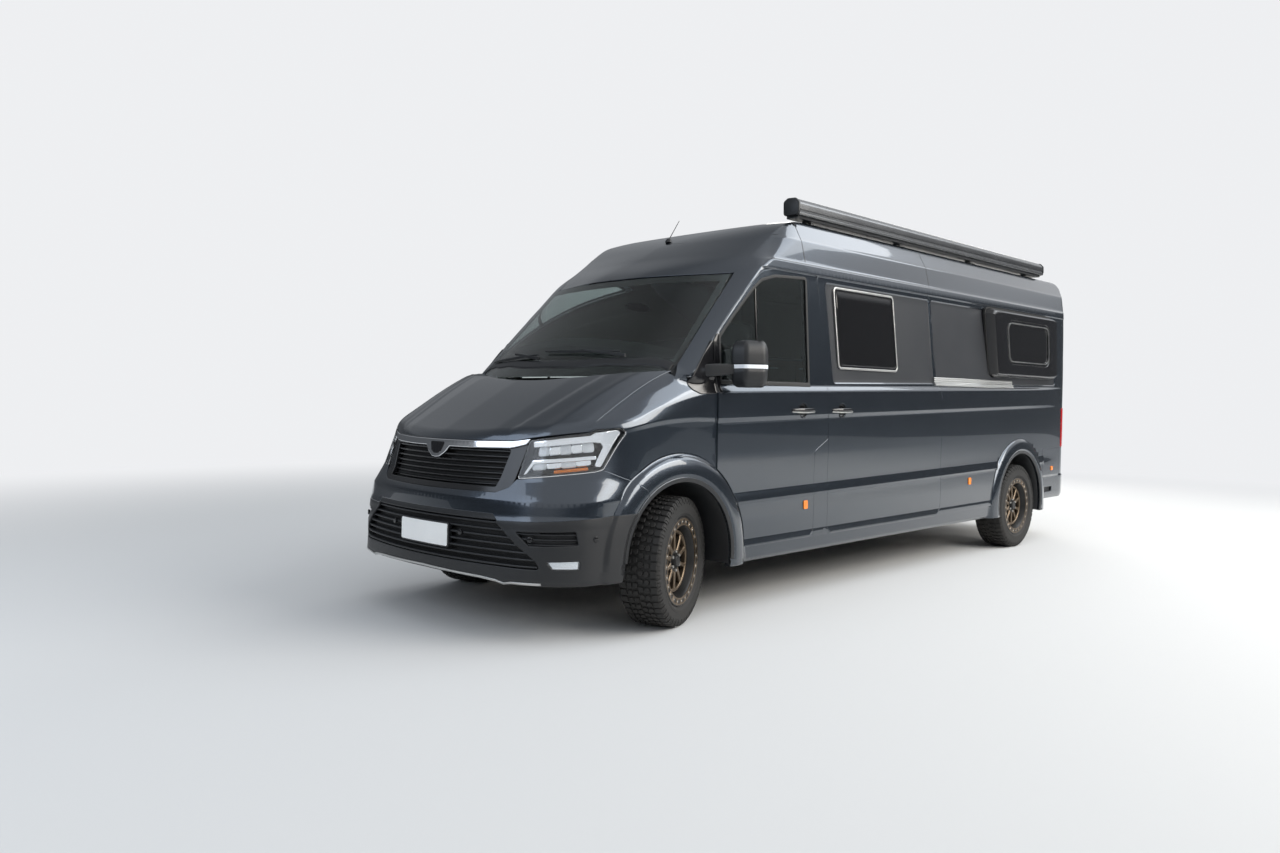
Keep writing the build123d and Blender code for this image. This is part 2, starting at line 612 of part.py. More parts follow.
# Underside
engineBlock = block(2440, 3060, -330, 330, 330, 1010)
gearbox = block(1750, 2440, -160, 160, 336, 436)
write("engine", engineBlock + gearbox)
armZ0, armZ1 = 206, 230
subframe = block(2352, 2500, -400, 400, 250, 325)
for sign in (1, -1):
    subframe += block(2352, 2490, sign * 340, sign * 400, 325, 470)
    reach = sign * 892
    armPlan = [(2352, sign * 360), (2500, sign * 360), (frontAxleX + 24, reach), (frontAxleX - 24, reach)]
    lowerArm = planPrism(armPlan, armZ0, armZ1)
    lowerArm += block(2352, 2500, sign * 340, sign * 400, armZ0, 250)
    upperArm = block(frontAxleX - 24, frontAxleX + 24, sign * housingInner, reach, 500, 524)
    strut = rodZ(frontAxleX, sign * 660, 25, armZ1, archZ + archRadius - 2)
    for part in (lowerArm, upperArm, strut):
        subframe += part
    subframe -= rodZ(frontAxleX, sign * kingpinY, 14.3, 100, 600)
write("front_subframe", subframe)

axle = rodY(rearAxleX, tyreRadius, 44, -800, 800)
axle += Pos(rearAxleX, 0, tyreRadius) * Sphere(130)
for sign in (1, -1):
    spring = ThreePointArc((rearAxleX - 640, 440), (rearAxleX, 316), (rearAxleX + 640, 440))
    band = make_face([spring, Line((rearAxleX + 640, 440), (rearAxleX + 640, 470)),
                      ThreePointArc((rearAxleX + 640, 470), (rearAxleX, 346), (rearAxleX - 640, 470)),
                      Line((rearAxleX - 640, 470), (rearAxleX - 640, 440))])
    axle += through(band, sign * railY - 32, sign * railY + 32)
    axle += rodY(rearAxleX, tyreRadius, 29.7, sign * 800, sign * 950)
write("rear_axle", axle)

write("fuel_tank", planPrism([(250, 500), (1150, 500), (1150, 880), (250, 880)], 330, floorFoot, 40))
exhaust = Pos(-300, -620, 430) * Rot(0, 90, 0) * Cylinder(110, 900)
for pipeX0, pipeX1, hangerX in ((150, 1600, 1400), (-1500, -750, -1300)):
    exhaust += block(pipeX0, pipeX1, -650, -590, 400, 460)
    exhaust += block(hangerX, hangerX + 60, -640, -600, 430, floorFoot)
write("exhaust", exhaust)

# Wheels, built straight about their own axle, then set in place
bead, barrel, treadCorner, tyreSides = 232, 218, 345, 48


def ringSection(radius, y):
    return Plane((0, y, 0), x_dir=(0, 0, -1), z_dir=(0, 1, 0)) * RegularPolygon(radius, tyreSides)


def tyre():
    # many-sided, with a corner on the ground
    half = [(tyreHalfWidth, 300), (116, treadCorner), (98, tyreRadius)]
    rings = [ringSection(r, -y) for y, r in half] + [ringSection(r, y) for y, r in reversed(half)]
    outer = loft(rings, ruled=True)
    bore = rodY(0, 0, bead, -200, 200)
    for sign in (1, -1):
        steps = [(130, 312), (112, 259), (96, rimLip + 1)]
        bore += loft([ringSection(r, sign * y) for y, r in steps], ruled=True)
    return outer - bore


def rim():
    profile = [(barrel, -106), (rimLip, -106), (rimLip, -96), (bead, -96), (bead, 96), (rimLip, 96),
               (rimLip, 112), (228, 114), (barrel, 92)]
    wheel = revolve(outline(profile), Axis.Y, 360)
    wheel += rodY(0, 0, 72, 50, 94)
    for spoke in range(10):
        wheel += Rot(0, spoke * 36, 0) * block(60, barrel + 4, 62, 88, -17, 17)
    wheel += rodY(0, 0, 165, 40, 60)
    return wheel - rodY(0, 0, 30, -100, 80)


tyreSolid, rimSolid = tyre(), rim()
knuckleBody = block(-45, 45, wheelY - 60, wheelY + 5, 235 - tyreRadius, 495 - tyreRadius)
knuckleBody += rodY(0, 0, 29.7, wheelY, wheelY + 76)
knuckleBody += rodZ(0, kingpinY, 14, armZ0 - tyreRadius, 524 - tyreRadius)


def setWheel(shape, x, side, turn=0):
    placed = Pos(x, wheelY, tyreRadius) * shape
    if side < 0:
        placed = mirrored(placed)
    pivot = (x, side * kingpinY, 0)
    return placed.rotate(Axis(pivot, (0, 0, 1)), turn)


wheels = (("front_left", frontAxleX, 1, restSteer[1]), ("front_right", frontAxleX, -1, restSteer[-1]),
          ("rear_left", rearAxleX, 1, 0), ("rear_right", rearAxleX, -1, 0))
for place, x, side, turn in wheels:
    write(f"tyre_{place}", setWheel(tyreSolid, x, side, turn))
    write(f"rim_{place}", setWheel(rimSolid, x, side, turn))
for place, side in (("left", 1), ("right", -1)):
    knuckle = Pos(frontAxleX, 0, tyreRadius) * knuckleBody
    knuckle = knuckle if side > 0 else mirrored(knuckle)
    kingpin = Axis((frontAxleX, side * kingpinY, 0), (0, 0, 1))
    write(f"knuckle_{place}", knuckle.rotate(kingpin, restSteer[side]))
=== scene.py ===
import json
import math
import bpy
import bmesh
import numpy as np
from mathutils import Matrix, Vector
from mathutils.geometry import delaunay_2d_cdt

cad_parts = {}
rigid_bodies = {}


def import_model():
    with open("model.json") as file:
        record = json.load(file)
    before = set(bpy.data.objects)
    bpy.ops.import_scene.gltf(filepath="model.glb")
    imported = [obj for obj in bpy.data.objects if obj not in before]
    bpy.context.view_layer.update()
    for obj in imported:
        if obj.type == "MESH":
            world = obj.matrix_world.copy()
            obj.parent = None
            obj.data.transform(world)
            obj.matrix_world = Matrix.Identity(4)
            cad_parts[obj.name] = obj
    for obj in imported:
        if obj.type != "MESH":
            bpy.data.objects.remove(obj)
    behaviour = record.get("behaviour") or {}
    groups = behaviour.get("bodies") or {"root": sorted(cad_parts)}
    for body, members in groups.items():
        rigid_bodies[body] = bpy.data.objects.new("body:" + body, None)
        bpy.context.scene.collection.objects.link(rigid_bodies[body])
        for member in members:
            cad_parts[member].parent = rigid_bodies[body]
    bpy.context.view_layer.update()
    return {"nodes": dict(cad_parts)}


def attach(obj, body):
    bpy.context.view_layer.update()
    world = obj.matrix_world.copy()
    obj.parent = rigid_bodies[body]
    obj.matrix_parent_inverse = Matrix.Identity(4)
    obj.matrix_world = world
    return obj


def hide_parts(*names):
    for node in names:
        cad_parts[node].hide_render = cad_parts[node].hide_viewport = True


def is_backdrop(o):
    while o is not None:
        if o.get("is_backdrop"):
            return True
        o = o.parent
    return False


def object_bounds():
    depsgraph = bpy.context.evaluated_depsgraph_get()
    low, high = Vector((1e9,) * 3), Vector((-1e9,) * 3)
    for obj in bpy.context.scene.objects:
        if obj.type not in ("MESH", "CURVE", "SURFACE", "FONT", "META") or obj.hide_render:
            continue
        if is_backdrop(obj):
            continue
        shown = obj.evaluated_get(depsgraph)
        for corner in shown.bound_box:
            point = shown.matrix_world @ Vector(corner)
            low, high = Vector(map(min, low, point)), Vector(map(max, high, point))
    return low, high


for leftOver in list(bpy.data.objects):  # Blender's own cube, lamp and camera
    bpy.data.objects.remove(leftOver)
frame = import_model()
print("stage: frame loaded")

# Body shapes are worked out in millimetres, in the frame's own axes, on the left side
mm = 0.001
shapes = bpy.data.collections.new("camperVan")
bpy.context.scene.collection.children.link(shapes)


# Shader groups
def shaderGroup(name, inputs, outputs):
    tree = bpy.data.node_groups.new(name, "ShaderNodeTree")
    for label, kind, value in inputs:
        made = tree.interface.new_socket(name=label, in_out="INPUT", socket_type=kind)
        if value is not None:
            made.default_value = value
    for label, kind in outputs:
        tree.interface.new_socket(name=label, in_out="OUTPUT", socket_type=kind)
    return tree, tree.nodes.new("NodeGroupInput"), tree.nodes.new("NodeGroupOutput")


def placed(tree, kind, links=(), **values):
    # a node with plain values by property or socket name, and links as (socket, source output)
    node = tree.nodes.new(kind)
    for key, value in values.items():
        if hasattr(node, key) and key not in node.inputs:
            setattr(node, key, value)
        else:
            node.inputs[key].default_value = value
    for socket, source in links:
        tree.links.new(source, node.inputs[socket])
    return node


def grainGroup():
    # fine moulded or sprayed grain: a normal, and a mask that varies slowly
    tree, start, end = shaderGroup("surfaceGrain", [("Size", "NodeSocketFloat", 400.0),
        ("Depth", "NodeSocketFloat", 0.2)], [("Normal", "NodeSocketVector"),
        ("Patches", "NodeSocketFloat")])
    where = placed(tree, "ShaderNodeTexCoord")
    fine = placed(tree, "ShaderNodeTexNoise", [("Vector", where.outputs["Object"]),
        ("Scale", start.outputs["Size"])], Detail=3.0)
    slow = placed(tree, "ShaderNodeTexNoise", [("Vector", where.outputs["Object"])], Scale=3.5, Detail=4.0)
    bump = placed(tree, "ShaderNodeBump", [("Height", fine.outputs[0]),
        ("Strength", start.outputs["Depth"])], Distance=0.0006)
    tree.links.new(bump.outputs[0], end.inputs["Normal"])
    tree.links.new(slow.outputs[0], end.inputs["Patches"])
    return tree


def roadDustGroup():
    # dust that lies thicker low down, broken up by noise
    tree, start, end = shaderGroup("roadDust", [("Top", "NodeSocketFloat", 0.9),
        ("Amount", "NodeSocketFloat", 0.3)], [("Mask", "NodeSocketFloat")])
    where = placed(tree, "ShaderNodeTexCoord")
    split = placed(tree, "ShaderNodeSeparateXYZ", [("Vector", where.outputs["Object"])])
    height = placed(tree, "ShaderNodeMath", [(0, split.outputs["Z"]), (1, start.outputs["Top"])],
        operation="DIVIDE")
    low = placed(tree, "ShaderNodeMath", [(1, height.outputs[0])], operation="SUBTRACT", use_clamp=True)
    low.inputs[0].default_value = 1.0
    noise = placed(tree, "ShaderNodeTexNoise", [("Vector", where.outputs["Object"])], Scale=9.0, Detail=7.0)
    both = placed(tree, "ShaderNodeMath", [(0, low.outputs[0]), (1, noise.outputs[0])], operation="MULTIPLY")
    scaled = placed(tree, "ShaderNodeMath", [(0, both.outputs[0]), (1, start.outputs["Amount"])],
        operation="MULTIPLY", use_clamp=True)
    tree.links.new(scaled.outputs[0], end.inputs["Mask"])
    return tree


def weaveGroup():
    # woven cloth from two crossed waves; its Shade output is painted shade, darker in the gaps between the
    # threads, and cloth finishes mix their two colours by it
    tree, start, end = shaderGroup("clothWeave", [("Threads", "NodeSocketFloat", 500.0),
        ("Depth", "NodeSocketFloat", 0.4)], [("Normal", "NodeSocketVector"), ("Shade", "NodeSocketFloat")])
    where = placed(tree, "ShaderNodeTexCoord")
    waves = []
    for direction in ("X", "Z"):
        waves.append(placed(tree, "ShaderNodeTexWave", [("Vector", where.outputs["Object"]),
            ("Scale", start.outputs["Threads"])], bands_direction=direction, Distortion=0.6, Detail=1.0))
    both = placed(tree, "ShaderNodeMath", [(0, waves[0].outputs["Fac"]), (1, waves[1].outputs["Fac"])],
        operation="MULTIPLY")
    bump = placed(tree, "ShaderNodeBump", [("Height", both.outputs[0]),
        ("Strength", start.outputs["Depth"])], Distance=0.001)
    tree.links.new(bump.outputs[0], end.inputs["Normal"])
    tree.links.new(both.outputs[0], end.inputs["Shade"])
    return tree


grain, roadDust, weave = grainGroup(), roadDustGroup(), weaveGroup()
dustColour = (0.24, 0.21, 0.17, 1)


def rgba(colour):
    return (*colour, 1.0)


def mixColour(tree, factor, low, high):
    mix = tree.nodes.new("ShaderNodeMix")
    mix.data_type = "RGBA"
    tree.links.new(factor, mix.inputs["Factor"])
    for socket, value in ((mix.inputs[6], low), (mix.inputs[7], high)):
        if isinstance(value, bpy.types.NodeSocket):
            tree.links.new(value, socket)
        else:
            socket.default_value = value
    return mix.outputs[2]


def finish(name, colour, shade=None, roughness=0.5, spread=0.08, grainSize=400.0, grainDepth=0.15, dust=0.0,
        dustTop=0.9, cloth=None, **principled):
    # one material: two close colours in slow patches (for cloth, by the weave instead, as painted shade in
    # the gaps between the threads), roughness that varies, a fine grain, and dust low down
    material = bpy.data.materials.new(name)
    material.use_nodes = True
    tree = material.node_tree
    shader = tree.nodes["Principled BSDF"]
    for key, value in principled.items():
        shader.inputs[key].default_value = value
    fine = tree.nodes.new("ShaderNodeGroup")
    fine.node_tree = weave if cloth else grain
    fine.inputs[0].default_value = cloth if cloth else grainSize
    fine.inputs["Depth"].default_value = grainDepth
    # slow patches of tone, or for cloth the weave's painted shade, darker between the threads
    patchesAndWeaveShade = fine.outputs[1]
    base = mixColour(tree, patchesAndWeaveShade, rgba(colour), rgba(shade or [c * 1.25 for c in colour]))
    rough = placed(tree, "ShaderNodeMapRange", [("Value", patchesAndWeaveShade)], **{"To Min": roughness - spread / 2,
        "To Max": roughness + spread / 2})
    roughOut = rough.outputs[0]
    if dust:
        road = tree.nodes.new("ShaderNodeGroup")
        road.node_tree = roadDust
        road.inputs["Top"].default_value = dustTop
        road.inputs["Amount"].default_value = dust
        base = mixColour(tree, road.outputs["Mask"], base, dustColour)
        dull = placed(tree, "ShaderNodeMath", [(0, roughOut), (1, road.outputs["Mask"])], operation="ADD",
            use_clamp=True)
        roughOut = dull.outputs[0]
    tree.links.new(base, shader.inputs["Base Color"])
    tree.links.new(roughOut, shader.inputs["Roughness"])
    tree.links.new(fine.outputs["Normal"], shader.inputs["Normal"])
    material.diffuse_color = rgba(colour)
    return material


def flakePaint():
    # dark grey metallic under clear lacquer, with flakes that vary in brightness
    material = finish("greyMetallicPaint", (0.030, 0.040, 0.053), (0.037, 0.047, 0.061), roughness=0.22,
        spread=0.04, grainSize=260.0, grainDepth=0.004, dust=0.10, dustTop=0.7, Metallic=0.8)
    tree = material.node_tree
    shader = tree.nodes["Principled BSDF"]
    shader.inputs["Coat Weight"].default_value = 1.0
    shader.inputs["Coat Roughness"].default_value = 0.03
    where = placed(tree, "ShaderNodeTexCoord")
    flakes = placed(tree, "ShaderNodeTexVoronoi", [("Vector", where.outputs["Object"])], Scale=1400.0)
    bright = placed(tree, "ShaderNodeMapRange", [("Value", flakes.outputs["Color"])],
        **{"To Min": 0.75, "To Max": 1.35})
    source = shader.inputs["Base Color"].links[0].from_socket
    lit = placed(tree, "ShaderNodeVectorMath", [(0, source)], operation="SCALE")
    tree.links.new(bright.outputs[0], lit.inputs["Scale"])
    tree.links.new(lit.outputs[0], shader.inputs["Base Color"])
    return material


paint = flakePaint()
satinPanel = finish("satinDarkPanel", (0.030, 0.032, 0.036), (0.036, 0.038, 0.042), roughness=0.36,
    grainSize=900.0, grainDepth=0.12, dust=0.1, Metallic=0.15)
blackPlastic = finish("grainedPlastic", (0.009, 0.010, 0.0115), (0.013, 0.014, 0.016), roughness=0.42,
    grainSize=1300.0, grainDepth=0.35, dust=0.05, dustTop=0.7)
glossBlack = finish("glossBlackTrim", (0.008, 0.008, 0.009), roughness=0.14, spread=0.06, grainDepth=0.02)
rubberSeal = finish("blackRubber", (0.012, 0.012, 0.012), roughness=0.62, grainDepth=0.2)
chrome = finish("brightChrome", (0.72, 0.73, 0.75), roughness=0.09, spread=0.05, grainDepth=0.02,
    Metallic=1.0)
satinMetal = finish("brushedAluminium", (0.55, 0.55, 0.54), (0.63, 0.63, 0.61), roughness=0.32,
    grainSize=700.0, grainDepth=0.1, Metallic=1.0)
awningCase = finish("greyAnodised", (0.13, 0.132, 0.136), (0.16, 0.162, 0.165), roughness=0.26,
    grainSize=800.0, grainDepth=0.05, Metallic=0.9)
tyreRubber = finish("tyreRubber", (0.010, 0.0098, 0.0095), (0.016, 0.0155, 0.015), roughness=0.7,
    grainSize=300.0, grainDepth=0.4, dust=0.08, dustTop=0.8)
rimPaint = finish("bronzeRim", (0.15, 0.11, 0.075), (0.19, 0.145, 0.10), roughness=0.36, grainSize=900.0,
    grainDepth=0.1, dust=0.1, Metallic=0.85)
rimDark = finish("blackRim", (0.008, 0.008, 0.008), (0.012, 0.012, 0.012), roughness=0.35, grainSize=900.0,
    grainDepth=0.1, dust=0.06, Metallic=0.3)
zincSteel = finish("zincSteel", (0.42, 0.41, 0.39), (0.5, 0.49, 0.46), roughness=0.38, Metallic=1.0)
underMetal = finish("underbodyPaint", (0.030, 0.030, 0.031), (0.055, 0.050, 0.045), roughness=0.7,
    grainSize=120.0, grainDepth=0.6, dust=0.6)
castIron = finish("castIron", (0.075, 0.070, 0.066), (0.12, 0.105, 0.09), roughness=0.62, grainSize=150.0,
    grainDepth=0.6, Metallic=0.6)
dashPlastic = finish("dashPlastic", (0.030, 0.031, 0.033), (0.038, 0.039, 0.041), roughness=0.6,
    grainSize=1500.0, grainDepth=0.6)
lining = finish("wallLining", (0.30, 0.30, 0.29), (0.36, 0.36, 0.35), roughness=0.8, cloth=420.0,
    grainDepth=0.3)
seatCloth = finish("seatCloth", (0.045, 0.047, 0.052), (0.07, 0.072, 0.078), roughness=0.9, cloth=380.0,
    grainDepth=0.5)
mattressCloth = finish("mattressCloth", (0.28, 0.27, 0.25), (0.36, 0.35, 0.32), roughness=0.92, cloth=300.0,
    grainDepth=0.5)
laminate = finish("paleLaminate", (0.30, 0.22, 0.14), (0.40, 0.31, 0.21), roughness=0.45, grainSize=60.0,
    grainDepth=0.1)
plateFace = finish("blankPlate", (0.78, 0.78, 0.76), roughness=0.35, grainSize=600.0, grainDepth=0.05)
amber = finish("amberLens", (0.75, 0.20, 0.02), roughness=0.18, grainSize=250.0, grainDepth=0.5)
redLens = finish("redLens", (0.42, 0.008, 0.010), roughness=0.12, grainSize=120.0, grainDepth=0.5)
whiteLens = finish("whiteLens", (0.80, 0.82, 0.85), roughness=0.2, grainSize=200.0, grainDepth=0.4)


def glass(name, colour, transmission=1.0):
    return finish(name, colour, colour, roughness=0.025, spread=0.01, grainSize=6.0, grainDepth=0.01,
        **{"Transmission Weight": transmission, "IOR": 1.45})


screenGlass = glass("screenGlass", (0.62, 0.70, 0.68))
cabGlass = glass("cabGlass", (0.50, 0.56, 0.55))
darkAcrylic = glass("darkAcrylic", (0.012, 0.012, 0.013), 0.3)
clearLens = glass("clearLens", (0.92, 0.94, 0.95))
print("stage: materials made")


# Mesh helpers
def meshObject(name, points, faces, materials, faceSlots=None, smooth=True, normals=None):
    # points in millimetres, faces as index lists
    mesh = bpy.data.meshes.new(name)
    mesh.from_pydata((np.asarray(points, float) * mm).tolist(), [], faces)
    for material in materials:
        mesh.materials.append(material)
    if faceSlots is not None:
        mesh.polygons.foreach_set("material_index", np.asarray(faceSlots, np.int32))
    mesh.polygons.foreach_set("use_smooth", np.full(len(mesh.polygons), smooth))
    mesh.update()
    if normals is not None:
        mesh.normals_split_custom_set(normals)
    made = bpy.data.objects.new(name, mesh)
    shapes.objects.link(made)
    return made


def cleaned(made, merge=0.01, sharp=35):
    # doubles merged, normals turned out, edges above an angle kept sharp
    work = bmesh.new()
    work.from_mesh(made.data)
    bmesh.ops.remove_doubles(work, verts=work.verts, dist=merge * mm)
    bmesh.ops.recalc_face_normals(work, faces=work.faces)
    for edge in work.edges:
        edge.smooth = len(edge.link_faces) == 2 and edge.calc_face_angle(0) < math.radians(sharp)
    for face in work.faces:
        face.smooth = True
    work.to_mesh(made.data)
    work.free()
    return made


def joined(name, parts):
    # several objects made one, keeping their materials
    materials, vertices, faces, slots = [], [], [], []
    for part in parts:
        start = sum(len(v) for v in vertices)
        mesh = part.data
        points = np.empty(len(mesh.vertices) * 3)
        mesh.vertices.foreach_get("co", points)
        vertices.append(points.reshape(-1, 3) / mm)
        remap = []
        for material in mesh.materials:
            if material not in materials:
                materials.append(material)
            remap.append(materials.index(material))
        for polygon in mesh.polygons:
            faces.append([start + i for i in polygon.vertices])
            slots.append(remap[polygon.material_index])
        bpy.data.objects.remove(part)
    return cleaned(meshObject(name, np.vstack(vertices), faces, materials, slots), merge=0.001)


def mirroredCopy(made, name):
    mesh = made.data.copy()
    mesh.transform(Matrix.Scale(-1, 4, (0, 1, 0)))
    mesh.flip_normals()
    return asObject(name, mesh)


def loft(name, sections, material, closed=True, caps=True, sharp=35):
    # sections: lists of equally many points, joined one to the next
    count = len(sections[0])
    points = [p for section in sections for p in section]
    faces = []
    for i in range(len(sections) - 1):
        for j in range(count if closed else count - 1):
            k = (j + 1) % count
            faces.append([i * count + j, i * count + k, (i + 1) * count + k, (i + 1) * count + j])
    if caps:
        faces.append(list(range(count - 1, -1, -1)))
        last = (len(sections) - 1) * count
        faces.append(list(range(last, last + count)))
    return cleaned(meshObject(name, points, faces, [material]), sharp=sharp)


def lathe(name, profile, material, steps=64, sharp=35):
    # profile: closed loop of (radius, along) turned about the Y axis
    points, faces = [], []
    for i in range(steps):
        turn = 2 * math.pi * i / steps
        points += [(r * math.cos(turn), a, r * math.sin(turn)) for r, a in profile]
    count = len(profile)
    for i in range(steps):
        for j in range(count):
            k = (j + 1) % count
            n = (i + 1) % steps
            faces.append([i * count + j, i * count + k, n * count + k, n * count + j])
    return cleaned(meshObject(name, points, faces, [material]), sharp=sharp)


def bevelBox(name, low, high, material, bevel=3, segments=2):
    work = bmesh.new()
    bmesh.ops.create_cube(work, size=1)
    for vertex in work.verts:
        vertex.co = [(a + b) / 2 + c * (b - a) for a, b, c in zip(low, high, vertex.co)]
    bmesh.ops.bevel(work, geom=list(work.edges), offset=bevel, segments=segments, profile=0.5, affect="EDGES")
    for vertex in work.verts:
        vertex.co *= mm
    made = meshObject(name, [], [], [material])
    work.to_mesh(made.data)
    work.free()
    return cleaned(made)


def moved(made, matrix):
    made.data.transform(matrix)
    made.data.update()
    return made


def at(x, y, z):
    return Matrix.Translation(Vector((x, y, z)) * mm)


upright = Matrix.Rotation(math.pi / 2, 4, "X")  # stands a lathe's axis up


def rod(name, radius, low, high, material, steps):
    return lathe(name, [(0.01, low), (radius, low), (radius, high), (0.01, high)], material, steps)


def asObject(name, mesh):
    mesh.name = name
    made = bpy.data.objects.new(name, mesh)
    shapes.objects.link(made)
    return made


def evaluatedMesh(made):
    bpy.context.view_layer.update()
    mesh = bpy.data.meshes.new_from_object(made.evaluated_get(bpy.context.evaluated_depsgraph_get()))
    bpy.data.objects.remove(made)
    return mesh


# Flat outlines
def rounded(points, radii, step=6):
    # polygon with its corners turned by arcs
    count, out = len(points), []
    radii = radii if isinstance(radii, (list, tuple)) else [radii] * count
    for i in range(count):
        here, before, after = (np.array(points[j], float) for j in (i, i - 1, (i + 1) % count))
        a, b = before - here, after - here
        la, lb = np.linalg.norm(a), np.linalg.norm(b)
        a, b = a / la, b / lb
        half = math.acos(max(-1, min(1, float(a @ b)))) / 2
        if radii[i] <= 0 or half > math.radians(89.5):
            out.append(tuple(here))
            continue
        reach = min(radii[i] / math.tan(half), 0.48 * la, 0.48 * lb)
        radius = reach * math.tan(half)
        centre = here + (a + b) / np.linalg.norm(a + b) * radius / math.sin(half)
        p, q = here + a * reach - centre, here + b * reach - centre
        turn = math.atan2(p[0] * q[1] - p[1] * q[0], float(p @ q))
        parts = max(2, int(abs(turn) * radius / step), int(abs(turn) / 0.25))
        for k in range(parts + 1):
            angle = turn * k / parts
            out.append((centre[0] + p[0] * math.cos(angle) - p[1] * math.sin(angle),
                centre[1] + p[0] * math.sin(angle) + p[1] * math.cos(angle)))
    return out


def grown(points, by):
    # polygon moved outwards, corner by corner
    p = np.array(points, float)
    area = np.sum(p[:, 0] * np.roll(p[:, 1], -1) - np.roll(p[:, 0], -1) * p[:, 1])
    edge = np.roll(p, -1, 0) - p
    edge /= np.maximum(np.linalg.norm(edge, axis=1), 1e-9)[:, None]
    out = np.stack([edge[:, 1], -edge[:, 0]], 1) * (1 if area > 0 else -1)
    both = out + np.roll(out, 1, 0)
    both /= np.maximum((both * out).sum(1), 0.5)[:, None]
    return [tuple(q) for q in p + both * by]


def dense(points, step, closed=True):
    out, count = [], len(points)
    for i in range(count if closed else count - 1):
        a, b = np.array(points[i], float), np.array(points[(i + 1) % count], float)
        parts = max(1, int(math.ceil(np.linalg.norm(b - a) / step)))
        out += [tuple(a + (b - a) * k / parts) for k in range(parts)]
    return out if closed else out + [tuple(points[-1])]


def circle(x, z, radius, start=0, end=360, step=3):
    parts = max(3, int(abs(end - start) / step))
    last = parts if abs(end - start) < 360 else parts - 1
    angles = [math.radians(start + (end - start) * k / parts) for k in range(last + 1)]
    return [(x + radius * math.cos(angle), z + radius * math.sin(angle)) for angle in angles]


def rect(u0, u1, v0, v1):
    return [(u0, v0), (u1, v0), (u1, v1), (u0, v1)]


def inside(points, polygon):
    x, y = points[:, 0], points[:, 1]
    p = np.asarray(polygon, float)
    q = np.roll(p, -1, 0)
    result = np.zeros(len(points), bool)
    for (x0, y0), (x1, y1) in zip(p, q):
        if y0 == y1:
            continue
        crosses = (y0 > y) != (y1 > y)
        result ^= crosses & (x < (x1 - x0) * (y - y0) / (y1 - y0) + x0)
    return result


def edgeDistance(points, polygon):
    best = np.full(len(points), 1e9)
    p = np.asarray(polygon, float)
    for a, b in zip(p, np.roll(p, -1, 0)):
        d = b - a
        t = np.clip(((points - a) @ d) / max(float(d @ d), 1e-9), 0, 1)
        best = np.minimum(best, np.linalg.norm(points - a - t[:, None] * d, axis=1))
    return best


def between(loop, a, b):
    # the part of a closed loop from the point nearest a on to the point nearest b
    p = np.array(loop, float)
    i = int(np.argmin(np.linalg.norm(p - np.array(a), axis=1)))
    j = int(np.argmin(np.linalg.norm(p - np.array(b), axis=1)))
    return [tuple(q) for q in (p[i:j + 1] if j >= i else np.vstack([p[i:], p[:j + 1]]))]


def outsideCircle(loop, x, z, radius):
    # a closed loop with the part inside a circle replaced by the circle's own arc
    away = [math.hypot(a - x, b - z) > radius for a, b in loop]
    start = next(i for i in range(len(loop)) if away[i] and not away[i - 1])
    kept = [q for q, out in zip(loop[start:] + loop[:start], away[start:] + away[:start]) if out]
    a, b = (math.atan2(q[1] - z, q[0] - x) for q in (kept[-1], kept[0]))
    turn = (b - a + math.pi) % (2 * math.pi) - math.pi
    parts = max(2, int(abs(turn) * radius / 12))
    angles = [a + turn * k / parts for k in range(parts + 1)]
    return kept + [(x + radius * math.cos(angle), z + radius * math.sin(angle)) for angle in angles]


# The body's form, as a field that is 0 on the skin, negative inside and positive outside
def smoothMax(a, b, k):
    return np.maximum(a, b) + np.maximum(k - np.abs(a - b), 0) ** 2 / (4 * k)


def smoothMin(a, b, k):
    return -smoothMax(-a, -b, k)


def smoothStep(t):
    t = np.clip(t, 0, 1)
    return t * t * (3 - 2 * t)


def circleThrough(a, b, c):
    (ax, ay), (bx, by), (cx, cy) = a, b, c
    d = 2 * (ax * (by - cy) + bx * (cy - ay) + cx * (ay - by))
    x = ((ax**2 + ay**2) * (by - cy) + (bx**2 + by**2) * (cy - ay) + (cx**2 + cy**2) * (ay - by)) / d
    y = ((ax**2 + ay**2) * (cx - bx) + (bx**2 + by**2) * (ax - cx) + (cx**2 + cy**2) * (bx - ax)) / d
    return x, y, math.hypot(ax - x, ay - y)


body = {
    "frontStation": 2200, "rearStation": -2700,
    # distance from the middle, height at the front station, height at the rear one, softness of the corner
    "rows": [(975, 300, 300, 3), (1000, 322, 322, 6), (1005, 390, 398, 3), (1018, 398, 410, 3),
        (1008, 440, 457, 4), (1013, 560, 600, 20), (1011, 652, 722, 4), (1020, 662, 732, 3),
        (1004, 716, 790, 5), (1012, 930, 1010, 50), (1010, 1140, 1240, 6), (1019, 1160, 1262, 4),
        (1014, 1312, 1400, 8), (990, 1352, 1425, 8), (950, 2088, 2088, 6), (957, 2096, 2096, 4),
        (951, 2150, 2150, 4), (938, 2162, 2162, 10), (905, 2312, 2312, 7), (897, 2324, 2324, 9),
        (836, 2446, 2446, 12), (815, 2460, 2460, 6)],
    "dome": [(1904, 2075), (1480, 2345), (850, 2515)],
    "crown": 2505, "crownEdge": (815, 2460),
    "tailX": [(1300, -3352), (2380, -3296)],
    "tailTurn": 130,
    "cornerX": -3022, "cornerY": 660, "corner": 330,
    "taper": [(-1900, 1020), (-2500, 1010), (-3022, 990)],
    "glassApex": (2553, 1445), "glassRake": 1.0216, "glassArc": 2000,
    "pillar": [(2346, 887, 1455), (1731, 814, 2057), (2055, 973, 1700)],
    "beltZ": 1396, "wingX": 2104,
}
arches = {"front": {"x": 2417, "z": 388, "radius": 430, "outer": 569},
    "rear": {"x": -2073, "z": 405, "radius": 430, "outer": 553}}
